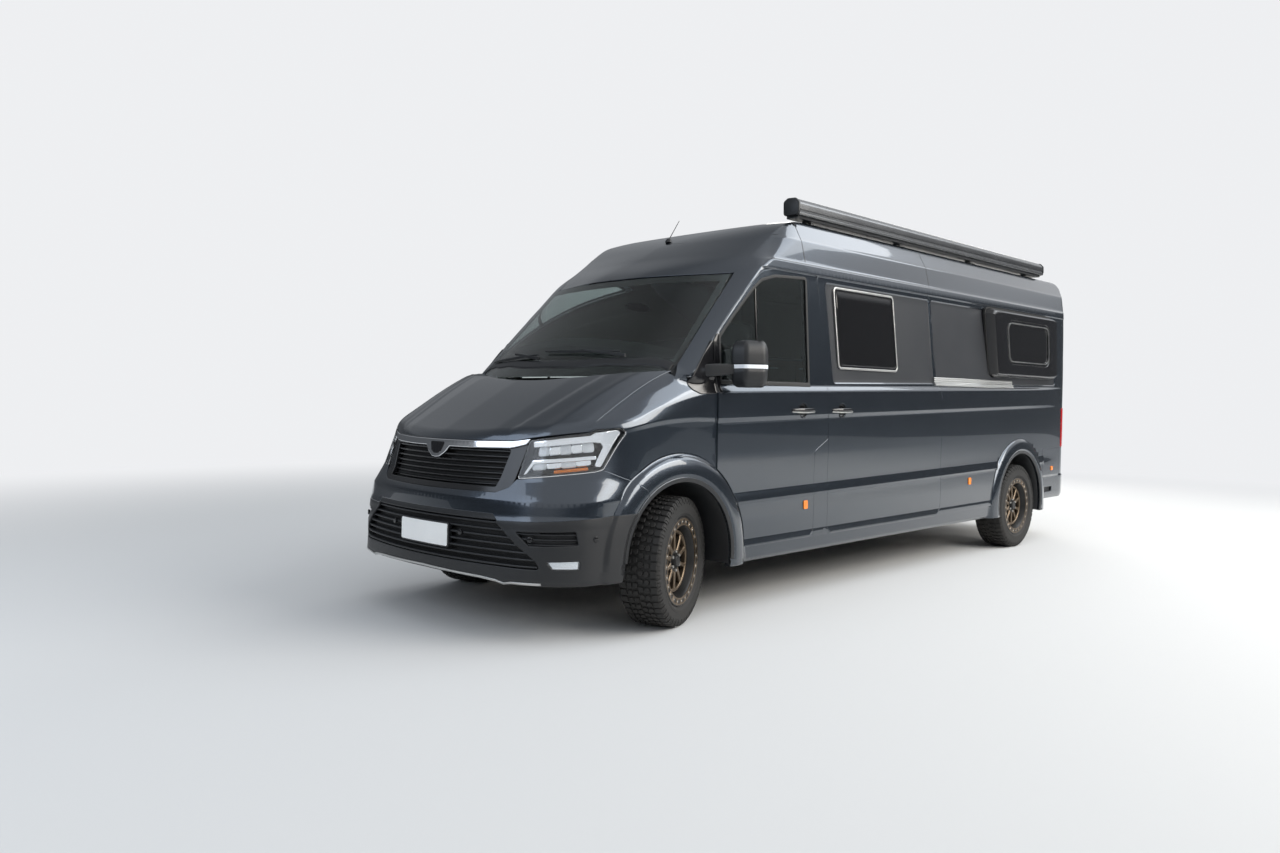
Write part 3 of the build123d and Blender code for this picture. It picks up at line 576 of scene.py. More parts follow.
# proud height of an arch's flare over its radius, as (share from lip to outer edge, distance from the middle)
flareForm = [(0.0, 1028), (0.16, 1032), (0.18, 1029), (0.21, 1035), (0.30, 1035.5), (0.5, 1032),
    (0.72, 1026), (0.88, 1020), (0.95, 1013), (1.02, 1003), (1.6, 930)]

rowY = np.array([r[0] for r in body["rows"]], float)
rowFront = np.array([r[1] for r in body["rows"]], float)
rowRise = np.array([r[2] - r[1] for r in body["rows"]], float)
rowSoft = np.array([r[3] for r in body["rows"]], float)
levels = np.arange(270.0, 2660.0, 1.0)


def rawSide(level):
    y = np.interp(level, rowFront, rowY)
    return np.where(level > rowFront[-1], rowY[-1] - (level - rowFront[-1]) * 1.5, y)


softTaps = ((-1, 1 / 9), (-0.5, 2 / 9), (0, 3 / 9), (0.5, 2 / 9), (1, 1 / 9))  # place and weight
softness = np.interp(levels, rowFront, rowSoft)
softSide = sum(w * rawSide(levels + softness * k) for k, w in softTaps)
taperCircle = circleThrough(*body["taper"])
domeCircle = circleThrough(*body["dome"])
crownRadius = (body["crownEdge"][0] ** 2 + 45**2) / 90
pillarFoot, pillarHead, pillarBack = (np.array(p, float) for p in body["pillar"])
pillarNormal = np.cross(pillarHead - pillarFoot, pillarBack - pillarFoot)
pillarNormal /= -np.linalg.norm(pillarNormal)


def stationShare(x):
    return (body["frontStation"] - x) / (body["frontStation"] - body["rearStation"])


def sideLevel(x, z):
    level = z
    for _ in range(6):
        level = z - stationShare(x) * np.interp(level, rowFront, rowRise)
    return level


def sideHeight(x, level):
    return level + stationShare(x) * np.interp(level, rowFront, rowRise)


# Flat dark panels set into the window band: outline in side view, corner radius, depth
bandPanels = [([(952, 2060), (885, 1388), (-532, 1414), (-474, 2060)], 34, 9),
    ([(-493, 2060), (-551, 1414), (-2900, 1440), (-2900, 2060)], 30, 9)]


def bandRelief(x, z):
    relief = np.zeros(np.shape(x))
    points = np.stack([x, z], -1)
    near = (z > 1370) & (z < 2080) & (x < 1000)
    if not near.any():
        return relief
    for outline, radius, depth in bandPanels:
        core = grown(outline, -radius)
        away = edgeDistance(points[near], core) * np.where(inside(points[near], core), -1, 1) - radius
        relief[near] = np.minimum(relief[near], -depth * smoothStep(-away / 9))
    return relief


def glassX(y, z):
    apexX, apexZ = body["glassApex"]
    sag = body["glassArc"] - np.sqrt(body["glassArc"] ** 2 - y**2)
    return apexX - body["glassRake"] * (z - apexZ) - sag


def flareReach(x, z):
    # how far from the middle the arch flares stand, and far inside elsewhere
    reach = np.full(np.shape(x), -500.0)
    for arch in arches.values():
        up = np.maximum(z - arch["z"], 0)
        radius = np.hypot(x - arch["x"], up)
        share = (radius - arch["radius"]) / (arch["outer"] - arch["radius"])
        form = np.interp(share, [s for s, y in flareForm], [y for s, y in flareForm])
        reach = np.maximum(reach, np.where(share < 1.6, form, -500))
    return reach


def bodyField(x, y, z):
    y = np.abs(y)
    side = y - np.interp(sideLevel(x, z), levels, softSide) - bandRelief(x, z)
    cx, cy, radius = taperCircle
    planY = np.where(x > body["taper"][0][0], 1020, cy + np.sqrt(np.maximum(radius**2 - (x - cx) ** 2, 0))
        * (1 if cy < 0 else -1))
    turn = np.hypot(x - body["cornerX"], y - body["cornerY"]) - body["corner"]
    plan = np.where(x > body["cornerX"], y - planY, np.where(y > body["cornerY"], turn,
        body["cornerX"] - body["corner"] - x))
    (z0, x0), (z1, x1) = body["tailX"]
    tail = np.interp(z, [z0, z1], [x0, x1]) - x
    crown = z - (body["crown"] - crownRadius + np.sqrt(crownRadius**2 - np.minimum(y, 1200) ** 2))
    crown = crown - roofRelief(x, y)
    dx, dz, dr = domeCircle
    run = np.maximum(x - dx, 0)
    slope = np.sqrt(np.maximum(dr**2 - run**2, 1)) / dr
    dome = (z - (dz + np.sqrt(np.maximum(dr**2 - run**2, 0)))) * slope
    top = smoothMax(crown, dome, 60.0)
    top = smoothMax(top, tail, body["tailTurn"])
    field = smoothMax(side, plan, 24.0)
    field = smoothMax(field, top, 12.0)
    screen = (x - glassX(np.minimum(y, 1300), z)) / math.hypot(1, body["glassRake"])
    field = smoothMax(field, screen, 5 + 85 * smoothStep((z - 2075) / 130))
    bevel = (x - pillarFoot[0]) * pillarNormal[0] + (y - pillarFoot[1]) * pillarNormal[1] + (z
        - pillarFoot[2]) * pillarNormal[2]
    bevel = np.where((x > 900) & (z > 1330), bevel, -500)
    field = smoothMax(field, bevel, 16 + 130 * smoothStep((z - 2050) / 260))
    return smoothMin(field, y - flareReach(x, z), 5.0)


roofRibs = {"from": -3080, "to": 980, "places": (0, 185, 370, 555, 690), "half": 34, "height": 7}


def roofRelief(x, y):
    along = smoothStep((x - roofRibs["from"]) / 60) * smoothStep((roofRibs["to"] - x) / 60)
    rise = np.zeros(np.shape(x))
    for place in roofRibs["places"]:
        rise = np.maximum(rise, smoothStep((roofRibs["half"] - np.abs(y - place)) / 16))
    return along * rise * roofRibs["height"]


# Front end: half sections (distance from the middle, height) at four stations, and the nose in plan
front = {
    "stations": [2104, 2600, 2960, 3420],
    "sections": [
        [(0, 1560), (450, 1545), (800, 1500), (925, 1450), (986, 1396), (990, 1352), (1014, 1312), (1019,
        1165),
        (1010, 1145), (1012, 930), (1006, 300)],
        [(0, 1452), (450, 1440), (790, 1398), (880, 1352), (935, 1300), (960, 1262), (990, 1215), (1012,
        1150),
        (1005, 1126), (1010, 900), (1006, 300)],
        [(0, 1268), (420, 1254), (740, 1212), (850, 1168), (915, 1125), (940, 1105), (968, 1088), (990, 1070),
        (990, 1050), (1005, 850), (1006, 300)],
        [(0, 1010), (400, 998), (700, 962), (800, 930), (860, 905), (895, 890), (930, 875), (955, 860),
        (960, 840),
        (980, 700), (990, 300)]],
    "noseLow": [(2860, 1008), (3190, 925), (3340, 690), (3418, 0)], "noseLowZ": 560,
    "noseHigh": [(2700, 1000), (2935, 925), (3130, 735), (3306, 0)], "noseHighZ": 1080,
    "pivot": (2850, 560), "unit": 490,
    "edge": 30,
    # how far the bumper's skin stands off the plain nose at each height
    "relief": [(290, -30), (306, -14), (322, -2), (340, 4), (400, 1), (520, 0), (600, 5), (630, 12), (662,
        13),
        (738, 25), (746, 25), (850, 1), (1000, 0)],
}
sectionTable = np.array(front["sections"], float)
sectionFit = np.array([[np.polyfit(front["stations"], sectionTable[:, i, j], 3) for j in (0, 1)]
    for i in range(sectionTable.shape[1])])


def frontSection(x):
    x = np.clip(x, 2050, 3450)
    return [(np.polyval(sectionFit[i, 0], x), np.polyval(sectionFit[i, 1], x))
        for i in range(len(sectionFit))]


def across(x, z):
    # half width of the front end at a height, corners softened
    rows = frontSection(x)
    total = np.zeros(np.shape(x))
    for k, weight in softTaps:
        level = z + k * (5 + 9 * smoothStep((z - rows[6][1]) / 50))
        y = np.where(level > rows[0][1], -(level - rows[0][1]) * 6, rows[-1][0])
        for (y0, z0), (y1, z1) in zip(rows, rows[1:]):
            part = (level <= z0) & (level > z1)
            y = np.where(part, y0 + (y1 - y0) * (z0 - level) / np.maximum(z0 - z1, 1e-6), y)
        total = total + weight * y
    return total


def bonnetHeight(x, y):
    rows = frontSection(x)
    total = np.zeros(np.shape(x))
    for k, weight in softTaps:
        place = np.abs(np.abs(y) + k * 22)
        z = rows[6][1] - (place - rows[6][0]) * 1.5
        for (y0, z0), (y1, z1) in zip(rows[:7], rows[1:7]):
            part = (place >= y0) & (place < y1)
            z = np.where(part, z0 + (z1 - z0) * (place - y0) / np.maximum(y1 - y0, 1e-6), z)
        total = total + weight * z
    crease = 5 * smoothStep((np.abs(y) - creaseY(x)) / 40) * smoothStep((creaseY(x) + 150 - np.abs(y)) / 110)
    return total + crease


def creaseY(x):
    # the bonnet's raised line, from the grille's corner back towards the pillar's foot
    return np.interp(x, [2400, 2900, 3300], [640, 560, 470])


def planArcs(points):
    # radius about the pivot for each angle, and how far forward the middle part lies
    side, wrap, corner, middle = points
    px, py = front["pivot"]
    fine = []
    for a, b, c in ((side, wrap, corner), (corner, middle, (corner[0], -corner[1]))):
        cx, cy, radius = circleThrough(a, b, c)
        start, end = math.atan2(a[1] - cy, a[0] - cx), math.atan2(c[1] - cy, c[0] - cx)
        fine += [(cx + radius * math.cos(start + (end - start) * k / 60),
            cy + radius * math.sin(start + (end - start) * k / 60)) for k in range(61)]
    fine = np.array([(2000, side[1])] + fine)
    turned = fine[(fine[:, 0] >= px - 1e-6) & (fine[:, 1] >= py - 60)]
    angle = np.arctan2(turned[:, 0] - px, turned[:, 1] - py)
    away = np.hypot(turned[:, 0] - px, turned[:, 1] - py)
    ahead = fine[np.abs(fine[:, 1]) < 700]
    return fine[fine[:, 0] < px + 150], angle, away, ahead[np.argsort(ahead[:, 1])]


noseLow, noseHigh = planArcs(front["noseLow"]), planArcs(front["noseHigh"])
reliefZ, reliefOut = np.array(front["relief"], float).T


def noseField(x, y, z):
    y = np.abs(y)
    px, py = front["pivot"]
    share = sum(w * np.clip((z + k - front["noseLowZ"]) / (front["noseHighZ"] - front["noseLowZ"]), 0, 1)
        for k, w in ((-50, 0.25), (0, 0.5), (50, 0.25)))
    angle = np.arctan2(np.maximum(x - px, 0), np.maximum(y - py, 1e-6))
    values = []
    for flank, turn, away, ahead in (noseLow, noseHigh):
        flat = np.where(x < px, y - np.interp(x, flank[:, 0], flank[:, 1]), 0)
        fan = np.hypot(x - px, y - py) - np.interp(angle, turn, away)
        nose = x - np.interp(y, ahead[:, 1], ahead[:, 0])
        values.append(np.where(y < py, nose, np.where(x < px, flat, fan)))
    relief = np.interp(z, reliefZ, reliefOut) * smoothStep((x - 2700) / 250)
    return values[0] * (1 - share) + values[1] * share - relief


def wingField(x, y, z):
    nose = noseField(x, y, z)
    flank = (np.abs(y) - across(x, z)) * 0.9
    skin = smoothMax(flank, nose, front["edge"])
    above = smoothMax(bodyField(x, y, z), body["beltZ"] - z, 12.0)
    blend = 2 + 40 * smoothStep((x - body["wingX"]) / 160)
    skin = np.where(x < 2520, smoothMin(skin, above, blend), skin)
    skin = np.where(x < body["wingX"], bodyField(x, y, z), skin)
    return smoothMin(skin, np.abs(y) - flareReach(x, z), 5.0)


def bonnetField(x, y, z):
    return smoothMax(z - bonnetHeight(x, y), noseField(x, y, z), front["edge"] + 14.0)


def shifted(field, by):
    # the same skin, so many millimetres further in, or out where by is negative
    return lambda x, y, z: field(x, y, z) + by


def bodySkin(by):
    return shifted(bodyField, by)


def frontSkin(by):
    return shifted(wingField, by)


def solve(origin, direction, field, low, high, steps=24):
    # the distance along each ray at which the field is 0
    a, b = (np.broadcast_to(limit, len(origin)).astype(float) for limit in (low, high))
    for _ in range(steps):
        half = (a + b) / 2
        at = origin + direction * half[:, None]
        out = field(at[:, 0], at[:, 1], at[:, 2]) > 0
        b = np.where(out, half, b)
        a = np.where(out, a, half)
    return origin + direction * ((a + b) / 2)[:, None]


def gradient(points, field, step=2.5):
    slopes = []
    for axis in range(3):
        shift = np.zeros(3)
        shift[axis] = step
        ahead, behind = points + shift, points - shift
        slopes.append(field(*ahead.T) - field(*behind.T))
    normals = np.stack(slopes, 1)
    return normals / np.maximum(np.linalg.norm(normals, axis=1), 1e-9)[:, None]


# Ways to walk over the body: from two flat numbers to rays that meet the skin
noseTurn = front["pivot"][0] + front["unit"] * math.pi / 2  # where the walk reaches the straight front
middleFront = noseTurn + front["pivot"][1]
tailTurned = body["cornerX"] - body["corner"] * math.pi / 2  # and the straight tail


def sideRays(u, z):
    # u is x along the side; past the rear corner and the front pivot it turns with the body
    u = np.asarray(u, float)
    mirrorSign = np.where(u > middleFront, -1.0, 1.0)
    u = np.where(u > middleFront, 2 * middleFront - u, u)
    origin, direction = np.zeros((len(u), 3)), np.zeros((len(u), 3))
    px, py = front["pivot"]
    tail = np.clip((body["cornerX"] - u) / body["corner"], 0, math.pi / 2)
    turn = np.clip((u - px) / front["unit"], 0, math.pi / 2)
    origin[:, 0] = np.clip(u, body["cornerX"], px)
    origin[:, 1] = np.where(tail > 0, body["cornerY"], np.where(u > px, py, 0))
    origin[:, 1] = np.where(u > noseTurn, py - (u - noseTurn), origin[:, 1])
    origin[:, 1] = np.where(u < tailTurned, body["cornerY"] - (tailTurned - u), origin[:, 1])
    origin[:, 2] = z
    direction[:, 0] = np.where(tail > 0, -np.sin(tail), np.sin(turn))
    direction[:, 1] = np.where(tail > 0, np.cos(tail), np.cos(turn))
    origin[:, 1] *= mirrorSign
    direction[:, 1] *= mirrorSign
    return origin, direction


def roofRays(u, v):
    # u is y, v is x; past the tail's edge the ray turns down
    back, pivotZ, unit = -3180.0, 2400.0, 115.0
    turn = np.clip((back - v) / unit, 0, None)
    origin = np.stack([np.maximum(v, back), u, np.full(len(u), pivotZ)], 1)
    origin[:, 2] = np.where(v > 900, 1900, pivotZ)
    return origin, np.stack([-np.sin(turn), np.zeros(len(u)), np.cos(turn)], 1)


def noseX(y):
    # how far forward the nose lies at the bonnet's edge
    ahead = noseHigh[3]
    fine = np.array(sorted(map(tuple, np.vstack([ahead, noseHigh[0][::-1]])), key=lambda p: p[1]))
    px, py = front["pivot"]
    fan = np.stack([px + noseHigh[2] * np.sin(noseHigh[1]), py + noseHigh[2] * np.cos(noseHigh[1])], 1)
    fine = np.vstack([fine[fine[:, 1] < py], fan[np.argsort(fan[:, 1])]])
    fine = fine[np.argsort(fine[:, 1])]
    return np.interp(np.abs(y), fine[:, 1], fine[:, 0])


def bonnetRays(u, v):
    # u is y; v runs back from a pivot line behind the front edge, and turns forward past it
    unit = 80.0
    pivotX = noseX(u) - unit
    turn = np.clip(v / unit, 0, None)
    x = pivotX + np.minimum(v, 0)
    z = bonnetHeight(pivotX, u) - unit - 20
    z = np.where(v < 0, z - 40, z)
    origin = np.stack([x, u, z], 1)
    return origin, np.stack([np.sin(turn), np.zeros(len(u)), np.cos(turn)], 1)


def onSkin(rays, field, u, v, low=0.0, high=1400.0):
    u, v = np.asarray(u, float), np.asarray(v, float)
    origin, direction = rays(u, v)
    points = solve(origin, direction, field, low, high)
    return points, gradient(points, field), direction


# Panels
def trimmedRim(triangles, flat):
    # slivers along the rim go, and so does what hangs on by one corner only
    for _ in range(12):
        sides = {(t[i], t[(i + 1) % 3]) for t in triangles.tolist() for i in range(3)}
        free = {(p, q) for p, q in sides if (q, p) not in sides}
        starts = [p for p, q in free]
        twice = {p for p in starts if starts.count(p) > 1} if len(set(starts)) < len(starts) else set()
        a, b, c = (flat[triangles[:, i]] for i in range(3))
        size = np.abs((b - a)[:, 0] * (c - a)[:, 1] - (b - a)[:, 1] * (c - a)[:, 0])
        drop = np.zeros(len(triangles), bool)
        for k in np.nonzero(size < 3.0)[0]:
            t = triangles[k].tolist()
            drop[k] = any((t[i], t[(i + 1) % 3]) in free for i in range(3))
        for corner in twice:
            at = np.nonzero((triangles == corner).any(1) & ~drop)[0]
            if len(at):
                drop[at[np.argmin(size[at])]] = True
        if not drop.any():
            return triangles
        triangles = triangles[~drop]
    return triangles


def panel(name, rays, field, outline, holes=(), grid=None, lines=(), edgeStep=14, depth=40, roll=3.5,
        materials=None, high=1400.0, low=0.0, inward=None, keep=0.45, zones=()):
    # a closed sheet over the skin: its outline and holes are flat, its edges are rolled in, and its back
    # is the front moved inwards along the rays
    loops = [dense(loop, edgeStep) for loop in [outline, *holes]]
    vertices, edges = [], []
    for loop in loops:
        start = len(vertices)
        vertices += loop
        edges += [(start + i, start + (i + 1) % len(loop)) for i in range(len(loop))]
    for line, closed, *coarse in lines:
        fine = dense(line, coarse[0] if coarse else edgeStep, closed)
        start = len(vertices)
        vertices += fine
        count = len(fine)
        edges += [(start + i, start + (i + 1) % count) for i in range(count if closed else count - 1)]
    fixed = np.array(vertices, float)
    points = np.array(grid if grid is not None else [], float).reshape(-1, 2)
    if len(points):
        within = inside(points, loops[0])
        for hole in loops[1:]:
            within &= ~inside(points, hole)
        points = points[within]
        far = np.ones(len(points), bool)
        for start in range(0, len(points), 2000):
            some = points[start:start + 2000]
            gap = np.full(len(some), 1e9)
            for at in range(0, len(fixed), 3000):
                gap = np.minimum(gap, ((some[:, None, :] - fixed[None, at:at + 3000, :]) ** 2).sum(2).min(1))
            far[start:start + 2000] = gap > (edgeStep * keep) ** 2
        points = points[far]
    every = [Vector(p) for p in vertices] + [Vector(p) for p in points]
    flat, _, triangles, *_ = delaunay_2d_cdt(every, edges, [], 0, 1e-4)
    flat = np.array([tuple(p) for p in flat])
    triangles = np.array([t for t in triangles if len(t) == 3])
    centres = flat[triangles].mean(1)
    within = inside(centres, loops[0])
    for hole in loops[1:]:
        within &= ~inside(centres, hole)
    triangles = trimmedRim(triangles[within], flat)
    used = np.unique(triangles)
    remap = np.full(len(flat), -1)
    remap[used] = np.arange(len(used))
    triangles, flat = remap[triangles], flat[used]
    skin, normals, direction = onSkin(rays, field, flat[:, 0], flat[:, 1], low, high)
    a, b, c = (skin[triangles[:, i]] for i in range(3))
    facing = (np.cross(b - a, c - a) * normals[triangles].sum(1)).sum(1)
    if np.median(np.sign(facing)) < 0:
        triangles = triangles[:, ::-1]
    if inward is not None:
        direction = np.broadcast_to(-np.array(inward, float), direction.shape)
    # the boundary, as directed edges with the sheet on their left
    directed = {}
    for tri in triangles:
        for i in range(3):
            directed[(tri[i], tri[(i + 1) % 3])] = True
    after = {p: q for (p, q) in directed if (q, p) not in directed}
    before = {q: p for p, q in after.items()}
    rim = np.array(sorted(after), int)
    slot = {p: i for i, p in enumerate(rim)}
    ahead = skin[[after[p] for p in rim]] - skin[[before[p] for p in rim]]
    ahead /= np.maximum(np.linalg.norm(ahead, axis=1), 1e-9)[:, None]
    outwards = np.cross(ahead, normals[rim])
    outwards /= np.maximum(np.linalg.norm(outwards, axis=1), 1e-9)[:, None]
    count, ringCount = len(skin), 3
    allPoints, allNormals = [skin], [normals]
    for j in range(1, ringCount + 1):
        angle = math.pi / 2 * j / ringCount
        allPoints.append(skin[rim] + outwards * roll * math.sin(angle) - normals[rim] * roll
            * (1 - math.cos(angle)))
        allNormals.append(normals[rim] * math.cos(angle) + outwards * math.sin(angle))
    back = skin - direction * depth
    allPoints.append(back)
    points = np.vstack(allPoints)
    backStart = count + ringCount * len(rim)
    faces = [list(t) for t in triangles]
    slots = np.zeros(len(faces), int)
    middles = flat[triangles].mean(1)
    for k, zone in enumerate(zones):
        slots[inside(middles, zone)] = 2 + k
    slots = slots.tolist()
    loopNormals = [normals[i] for t in triangles for i in t]
    ringNormals = np.vstack(allNormals)

    def ringIndex(p, j):
        return p if j == 0 else count + (j - 1) * len(rim) + slot[p]

    for p, q in after.items():
        for j in range(ringCount):
            quad = [ringIndex(q, j), ringIndex(p, j), ringIndex(p, j + 1), ringIndex(q, j + 1)]
            faces.append(quad)
            slots.append(0)
            loopNormals += [ringNormals[i] for i in quad]
        quad = [ringIndex(q, ringCount), ringIndex(p, ringCount), backStart + p, backStart + q]
        faces.append(quad)
        slots.append(0)
        side = (ringNormals[quad[0]] + ringNormals[quad[1]]) / 2
        loopNormals += [side] * 4
    inwardNormals = -direction
    for t in triangles[:, ::-1]:
        faces.append([backStart + i for i in t])
        slots.append(1 if len(materials) > 1 else 0)
        loopNormals += [inwardNormals[i] for i in t]
    return meshObject(name, points, faces, materials, slots, normals=np.array(loopNormals).tolist())


def sideGrid(x0, x1, z0, z1, step=42):
    # points along the body's own lines, closer together where a line is sharp
    marks = list(np.arange(z0, z1, step))
    for k, (at, soft) in enumerate(zip(rowFront, rowSoft)):
        marks += [at] if k < 14 and k not in (0, 1, 5, 9) else [at - soft, at - soft / 2, at, at + soft / 2,
            at + soft]
    marks = sorted(m for m in marks if z0 <= m <= z1)
    thin = [marks[0]]
    for mark in marks[1:]:
        if mark - thin[-1] > 1.4:
            thin.append(mark)
    xs = np.arange(x0, x1, step)
    return [(x, float(sideHeight(min(x, 2104.0), level))) for level in thin for x in xs]


def rowLines(x0, x1, low, high, rows=(4, 6, 7, 8, 10, 11, 12, 13, 14, 15, 16, 17, 18, 19)):
    # the body's sharp lines, as edges that a panel's mesh keeps
    lines = []
    for row in rows:
        for off in (-rowSoft[row], rowSoft[row]):
            line = [(float(x), float(sideHeight(min(x, 2104.0), rowFront[row] + off)))
                for x in (x0, min(2104, x1), x1)]
            if low < line[0][1] < high and low < line[-1][1] < high:
                lines.append((line if x1 > 2104 else line[::2], False, 28 if row > 13 else 56))
    return lines


def flatGrid(u0, u1, v0, v1, stepU, stepV):
    return [(u, v) for u in np.arange(u0, u1, stepU) for v in np.arange(v0, v1, stepV)]


def flareLines(arch, start, end):
    lines = []
    for share in (0.08, 0.16, 0.18, 0.21, 0.30, 0.5, 0.72, 0.88, 0.95, 1.0, 1.05):
        radius = arch["radius"] + share * (arch["outer"] - arch["radius"])
        lines.append((circle(arch["x"], arch["z"], radius, start, end, 3), False))
    return lines


def onSide(x, z):
    # points and outward directions on the left side, at x and z
    x, z = np.atleast_1d(np.asarray(x, float)), np.atleast_1d(np.asarray(z, float))
    points, normals, _ = onSkin(sideRays, bodyField, x, z, 400.0, 1300.0)
    return points, normals


def lengthRays(x, way):
    # rays along the van's length from one cross plane: u is y and v is z
    def rays(u, v):
        return np.stack([np.full(len(u), x), u, v], 1), np.tile([way, 0.0, 0.0], (len(u), 1))
    return rays


screenRays, tailRays = lengthRays(1300.0, 1.0), lengthRays(-2500.0, -1.0)


# Where the side meets the roof, and the windscreen's edge, both from planes that lean with the body
def roofSeam(xs):
    origin = np.stack([xs, np.full(len(xs), 814.0), np.full(len(xs), 2057.0)], 1)
    direction = np.tile([0, 8 / 413, 1.0], (len(xs), 1))
    return solve(origin, direction, bodyField, -60, 520)


def screenEdge(zs):
    return solve(*screenRays(887 - 73 * (zs - 1455) / 602, zs), bodyField, 0, 1400)


def tailU(x, y):
    return body["cornerX"] - body["corner"] * math.atan2(body["cornerX"] - x, y - body["cornerY"])


doors = {
    "cab": ([(1125, 404), (2098, 404), (2098, 1340), (2121, 1480), (2121, 1612), (1935, 1801), (1747, 1976),
        (1640, 2060), (1500, 2091), (1048, 2091), (1004, 1823), (973, 1364), (969, 1024), (1118, 950)],
        [60, 0, 0, 0, 40, 300, 300, 200, 150, 30, 0, 0, 12, 40]),
    "sliding": ([(957, 404), (957, 1020), (967, 1364), (998, 1823), (1041, 2091), (-480, 2091), (-520, 1855),
        (-548, 1440), (-612, 1300), (-612, 404)], [60, 0, 0, 0, 20, 60, 0, 60, 60, 90]),
    "cabWindow": ([(1168, 1380), (2058, 1380), (2058, 1640), (1907, 1788), (1748, 1930), (1640, 2010),
        (1500, 2045),
        (1168, 2062)], [20, 12, 40, 300, 200, 150, 100, 20]),
    "sideWindow": ([(52, 1506), (802, 1506), (838, 2022), (88, 2022)], 26),
    "podHole": ([(-1560, 1530), (-1470, 2030), (-2720, 2030), (-2750, 1530)], 40),
    "gap": 6, "handles": (1257, 804), "handleZ": 1211, "handleCup": 49,
}
cabDoorLine = dense(rounded(*doors["cab"]), 14)
slidingLine = rounded(*doors["sliding"])
cabWindowLine = rounded(*doors["cabWindow"])
sideWindowLine = rounded(*doors["sideWindow"])
frontArch, rearArch = arches["front"], arches["rear"]

seamX = np.concatenate([np.arange(1726, 1500, -12), np.arange(1500, -3000, -30)])
seam = roofSeam(seamX.astype(float))
seamTail = roofSeam(np.array([-3022.0 - 161 * math.tan(a) for a in np.linspace(0.02, 1.03, 16)]))
screenLine = screenEdge(np.linspace(2057, 1400, 50))


def anticlockwise(loop):
    area = sum(a[0] * b[1] - b[0] * a[1] for a, b in zip(loop, loop[1:] + loop[:1]))
    return loop if area > 0 else loop[::-1]


# The two doors share one gap, so the wall runs round both openings together
cabHole = anticlockwise(dense(grown(cabDoorLine, doors["gap"]), 14))
slidingHole = anticlockwise(dense(grown(slidingLine, doors["gap"]), 14))
leftOpenings = between(cabHole, (2113, 1396), (1046, 2097)) + between(slidingHole, (1038, 2097), (951, 1008))
leftOpenings += between(cabHole, (962, 1020), (1983, 398))
rightOpening = between(cabHole, (2113, 1396), (1983, 398))


def sideOutline(openings):
    outline = openings + circle(frontArch["x"], frontArch["z"], 434, 178.7, 191.7) + [(1992, 300)]
    outline += circle(rearArch["x"], rearArch["z"], rearArch["radius"], -14.1, 194.1)
    outline += [(-2490, 300), (-2600, 300), (-2600, 861), (-3060, 861), (-3060, 1235)]
    outline += [(tailU(-3351, 806), 1235), (tailU(-3300, 806), 2342)]
    outline += [(tailU(p[0], p[1]), p[2]) for p in seamTail[::-1] if p[2] > 2342]
    outline += [(p[0], p[2]) for p in seam[::-1]] + [(p[0], p[2]) for p in screenLine]
    return outline + [(float(screenLine[-1][0]), 1396.5)]


bandLines = [(rounded(grown(outline, by), radius + by), True) for outline, radius,
    depth in bandPanels for by in (2, -1, -10)]
bandZones = [rounded(grown(outline, -8), radius - 8) for outline, radius, depth in bandPanels]
bandLines += [(zone, True) for zone in bandZones]


def clearOfFlare(points, arch, margin=14):
    return [p for p in points if math.hypot(p[0] - arch["x"], max(p[1] - arch["z"], 0)) > arch["outer"]
        + margin]


def dress(made, node=None, rides="root"):
    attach(made, rides)
    if node:
        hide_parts(*([node] if isinstance(node, str) else node))
    return made


def dressPair(made, node, rides="root", right=None):
    # a left piece, and its mirror image on the right
    dress(made, node, rides)
    copy = mirroredCopy(made, right or made.name.replace("Left", "") + "Right")
    dress(copy, node and node.replace("left", "right"), rides.replace("left", "right"))


# The pillar's rounded edge, where its slanting face meets the side
pillarLines = []
for off in (-24, -12, 0, 12, 24):
    line = []
    for z in np.linspace(1420, 2440, 70):
        y = float(np.interp(z, levels, softSide))
        rise = (y - pillarFoot[1]) * pillarNormal[1] + (z - pillarFoot[2]) * pillarNormal[2]
        line.append((float(pillarFoot[0] - rise / pillarNormal[0]) + off, float(z)))
    pillarLines.append((line, False))

sillLines = [([(x, float(sideHeight(x, 387))) for x in (-1450, 1990)], False, 28)]
edgeLines = [([(-606, z), (2090, z)], False, 28) for z in (409.0, 415.0)]
wallGrid = clearOfFlare(sideGrid(-3400, 2420, 300, 2460), rearArch) + flatGrid(1180, 2100, 2100, 2460, 18, 13)
wallGrid += flatGrid(-3380, -2950, 2100, 2440, 16, 16)
wallLines = pillarLines + rowLines(-3300, 2400, 412, 2400) + sillLines
podLoop = rounded(*doors["podHole"])


def wall(name, openings, holes, bands, zones):
    return panel(name, sideRays, wingField, sideOutline(openings), [podLoop] + holes, wallGrid,
        flareLines(rearArch, -12, 192) + bands + wallLines, depth=45, materials=[paint, lining]
        + [satinPanel] * len(zones), zones=zones)


def door(name, outline, window, handleX, grid, lines, zones=()):
    cup = circle(handleX, doors["handleZ"], doors["handleCup"])
    return panel(name, sideRays, bodyField, outline, [window, cup], grid, lines + edgeLines, depth=45,
        materials=[paint, lining] + [satinPanel] * len(zones), zones=zones)


leftSide = wall("sideWallLeft", leftOpenings, [], bandLines[3:], bandZones[1:])
dress(leftSide, "side_left")
rightSide = wall("rightDraft", rightOpening, [sideWindowLine], bandLines, bandZones)
dress(mirroredCopy(rightSide, "sideWallRight"), "side_right")
bpy.data.objects.remove(rightSide)
print("stage: side walls", len(leftSide.data.polygons))

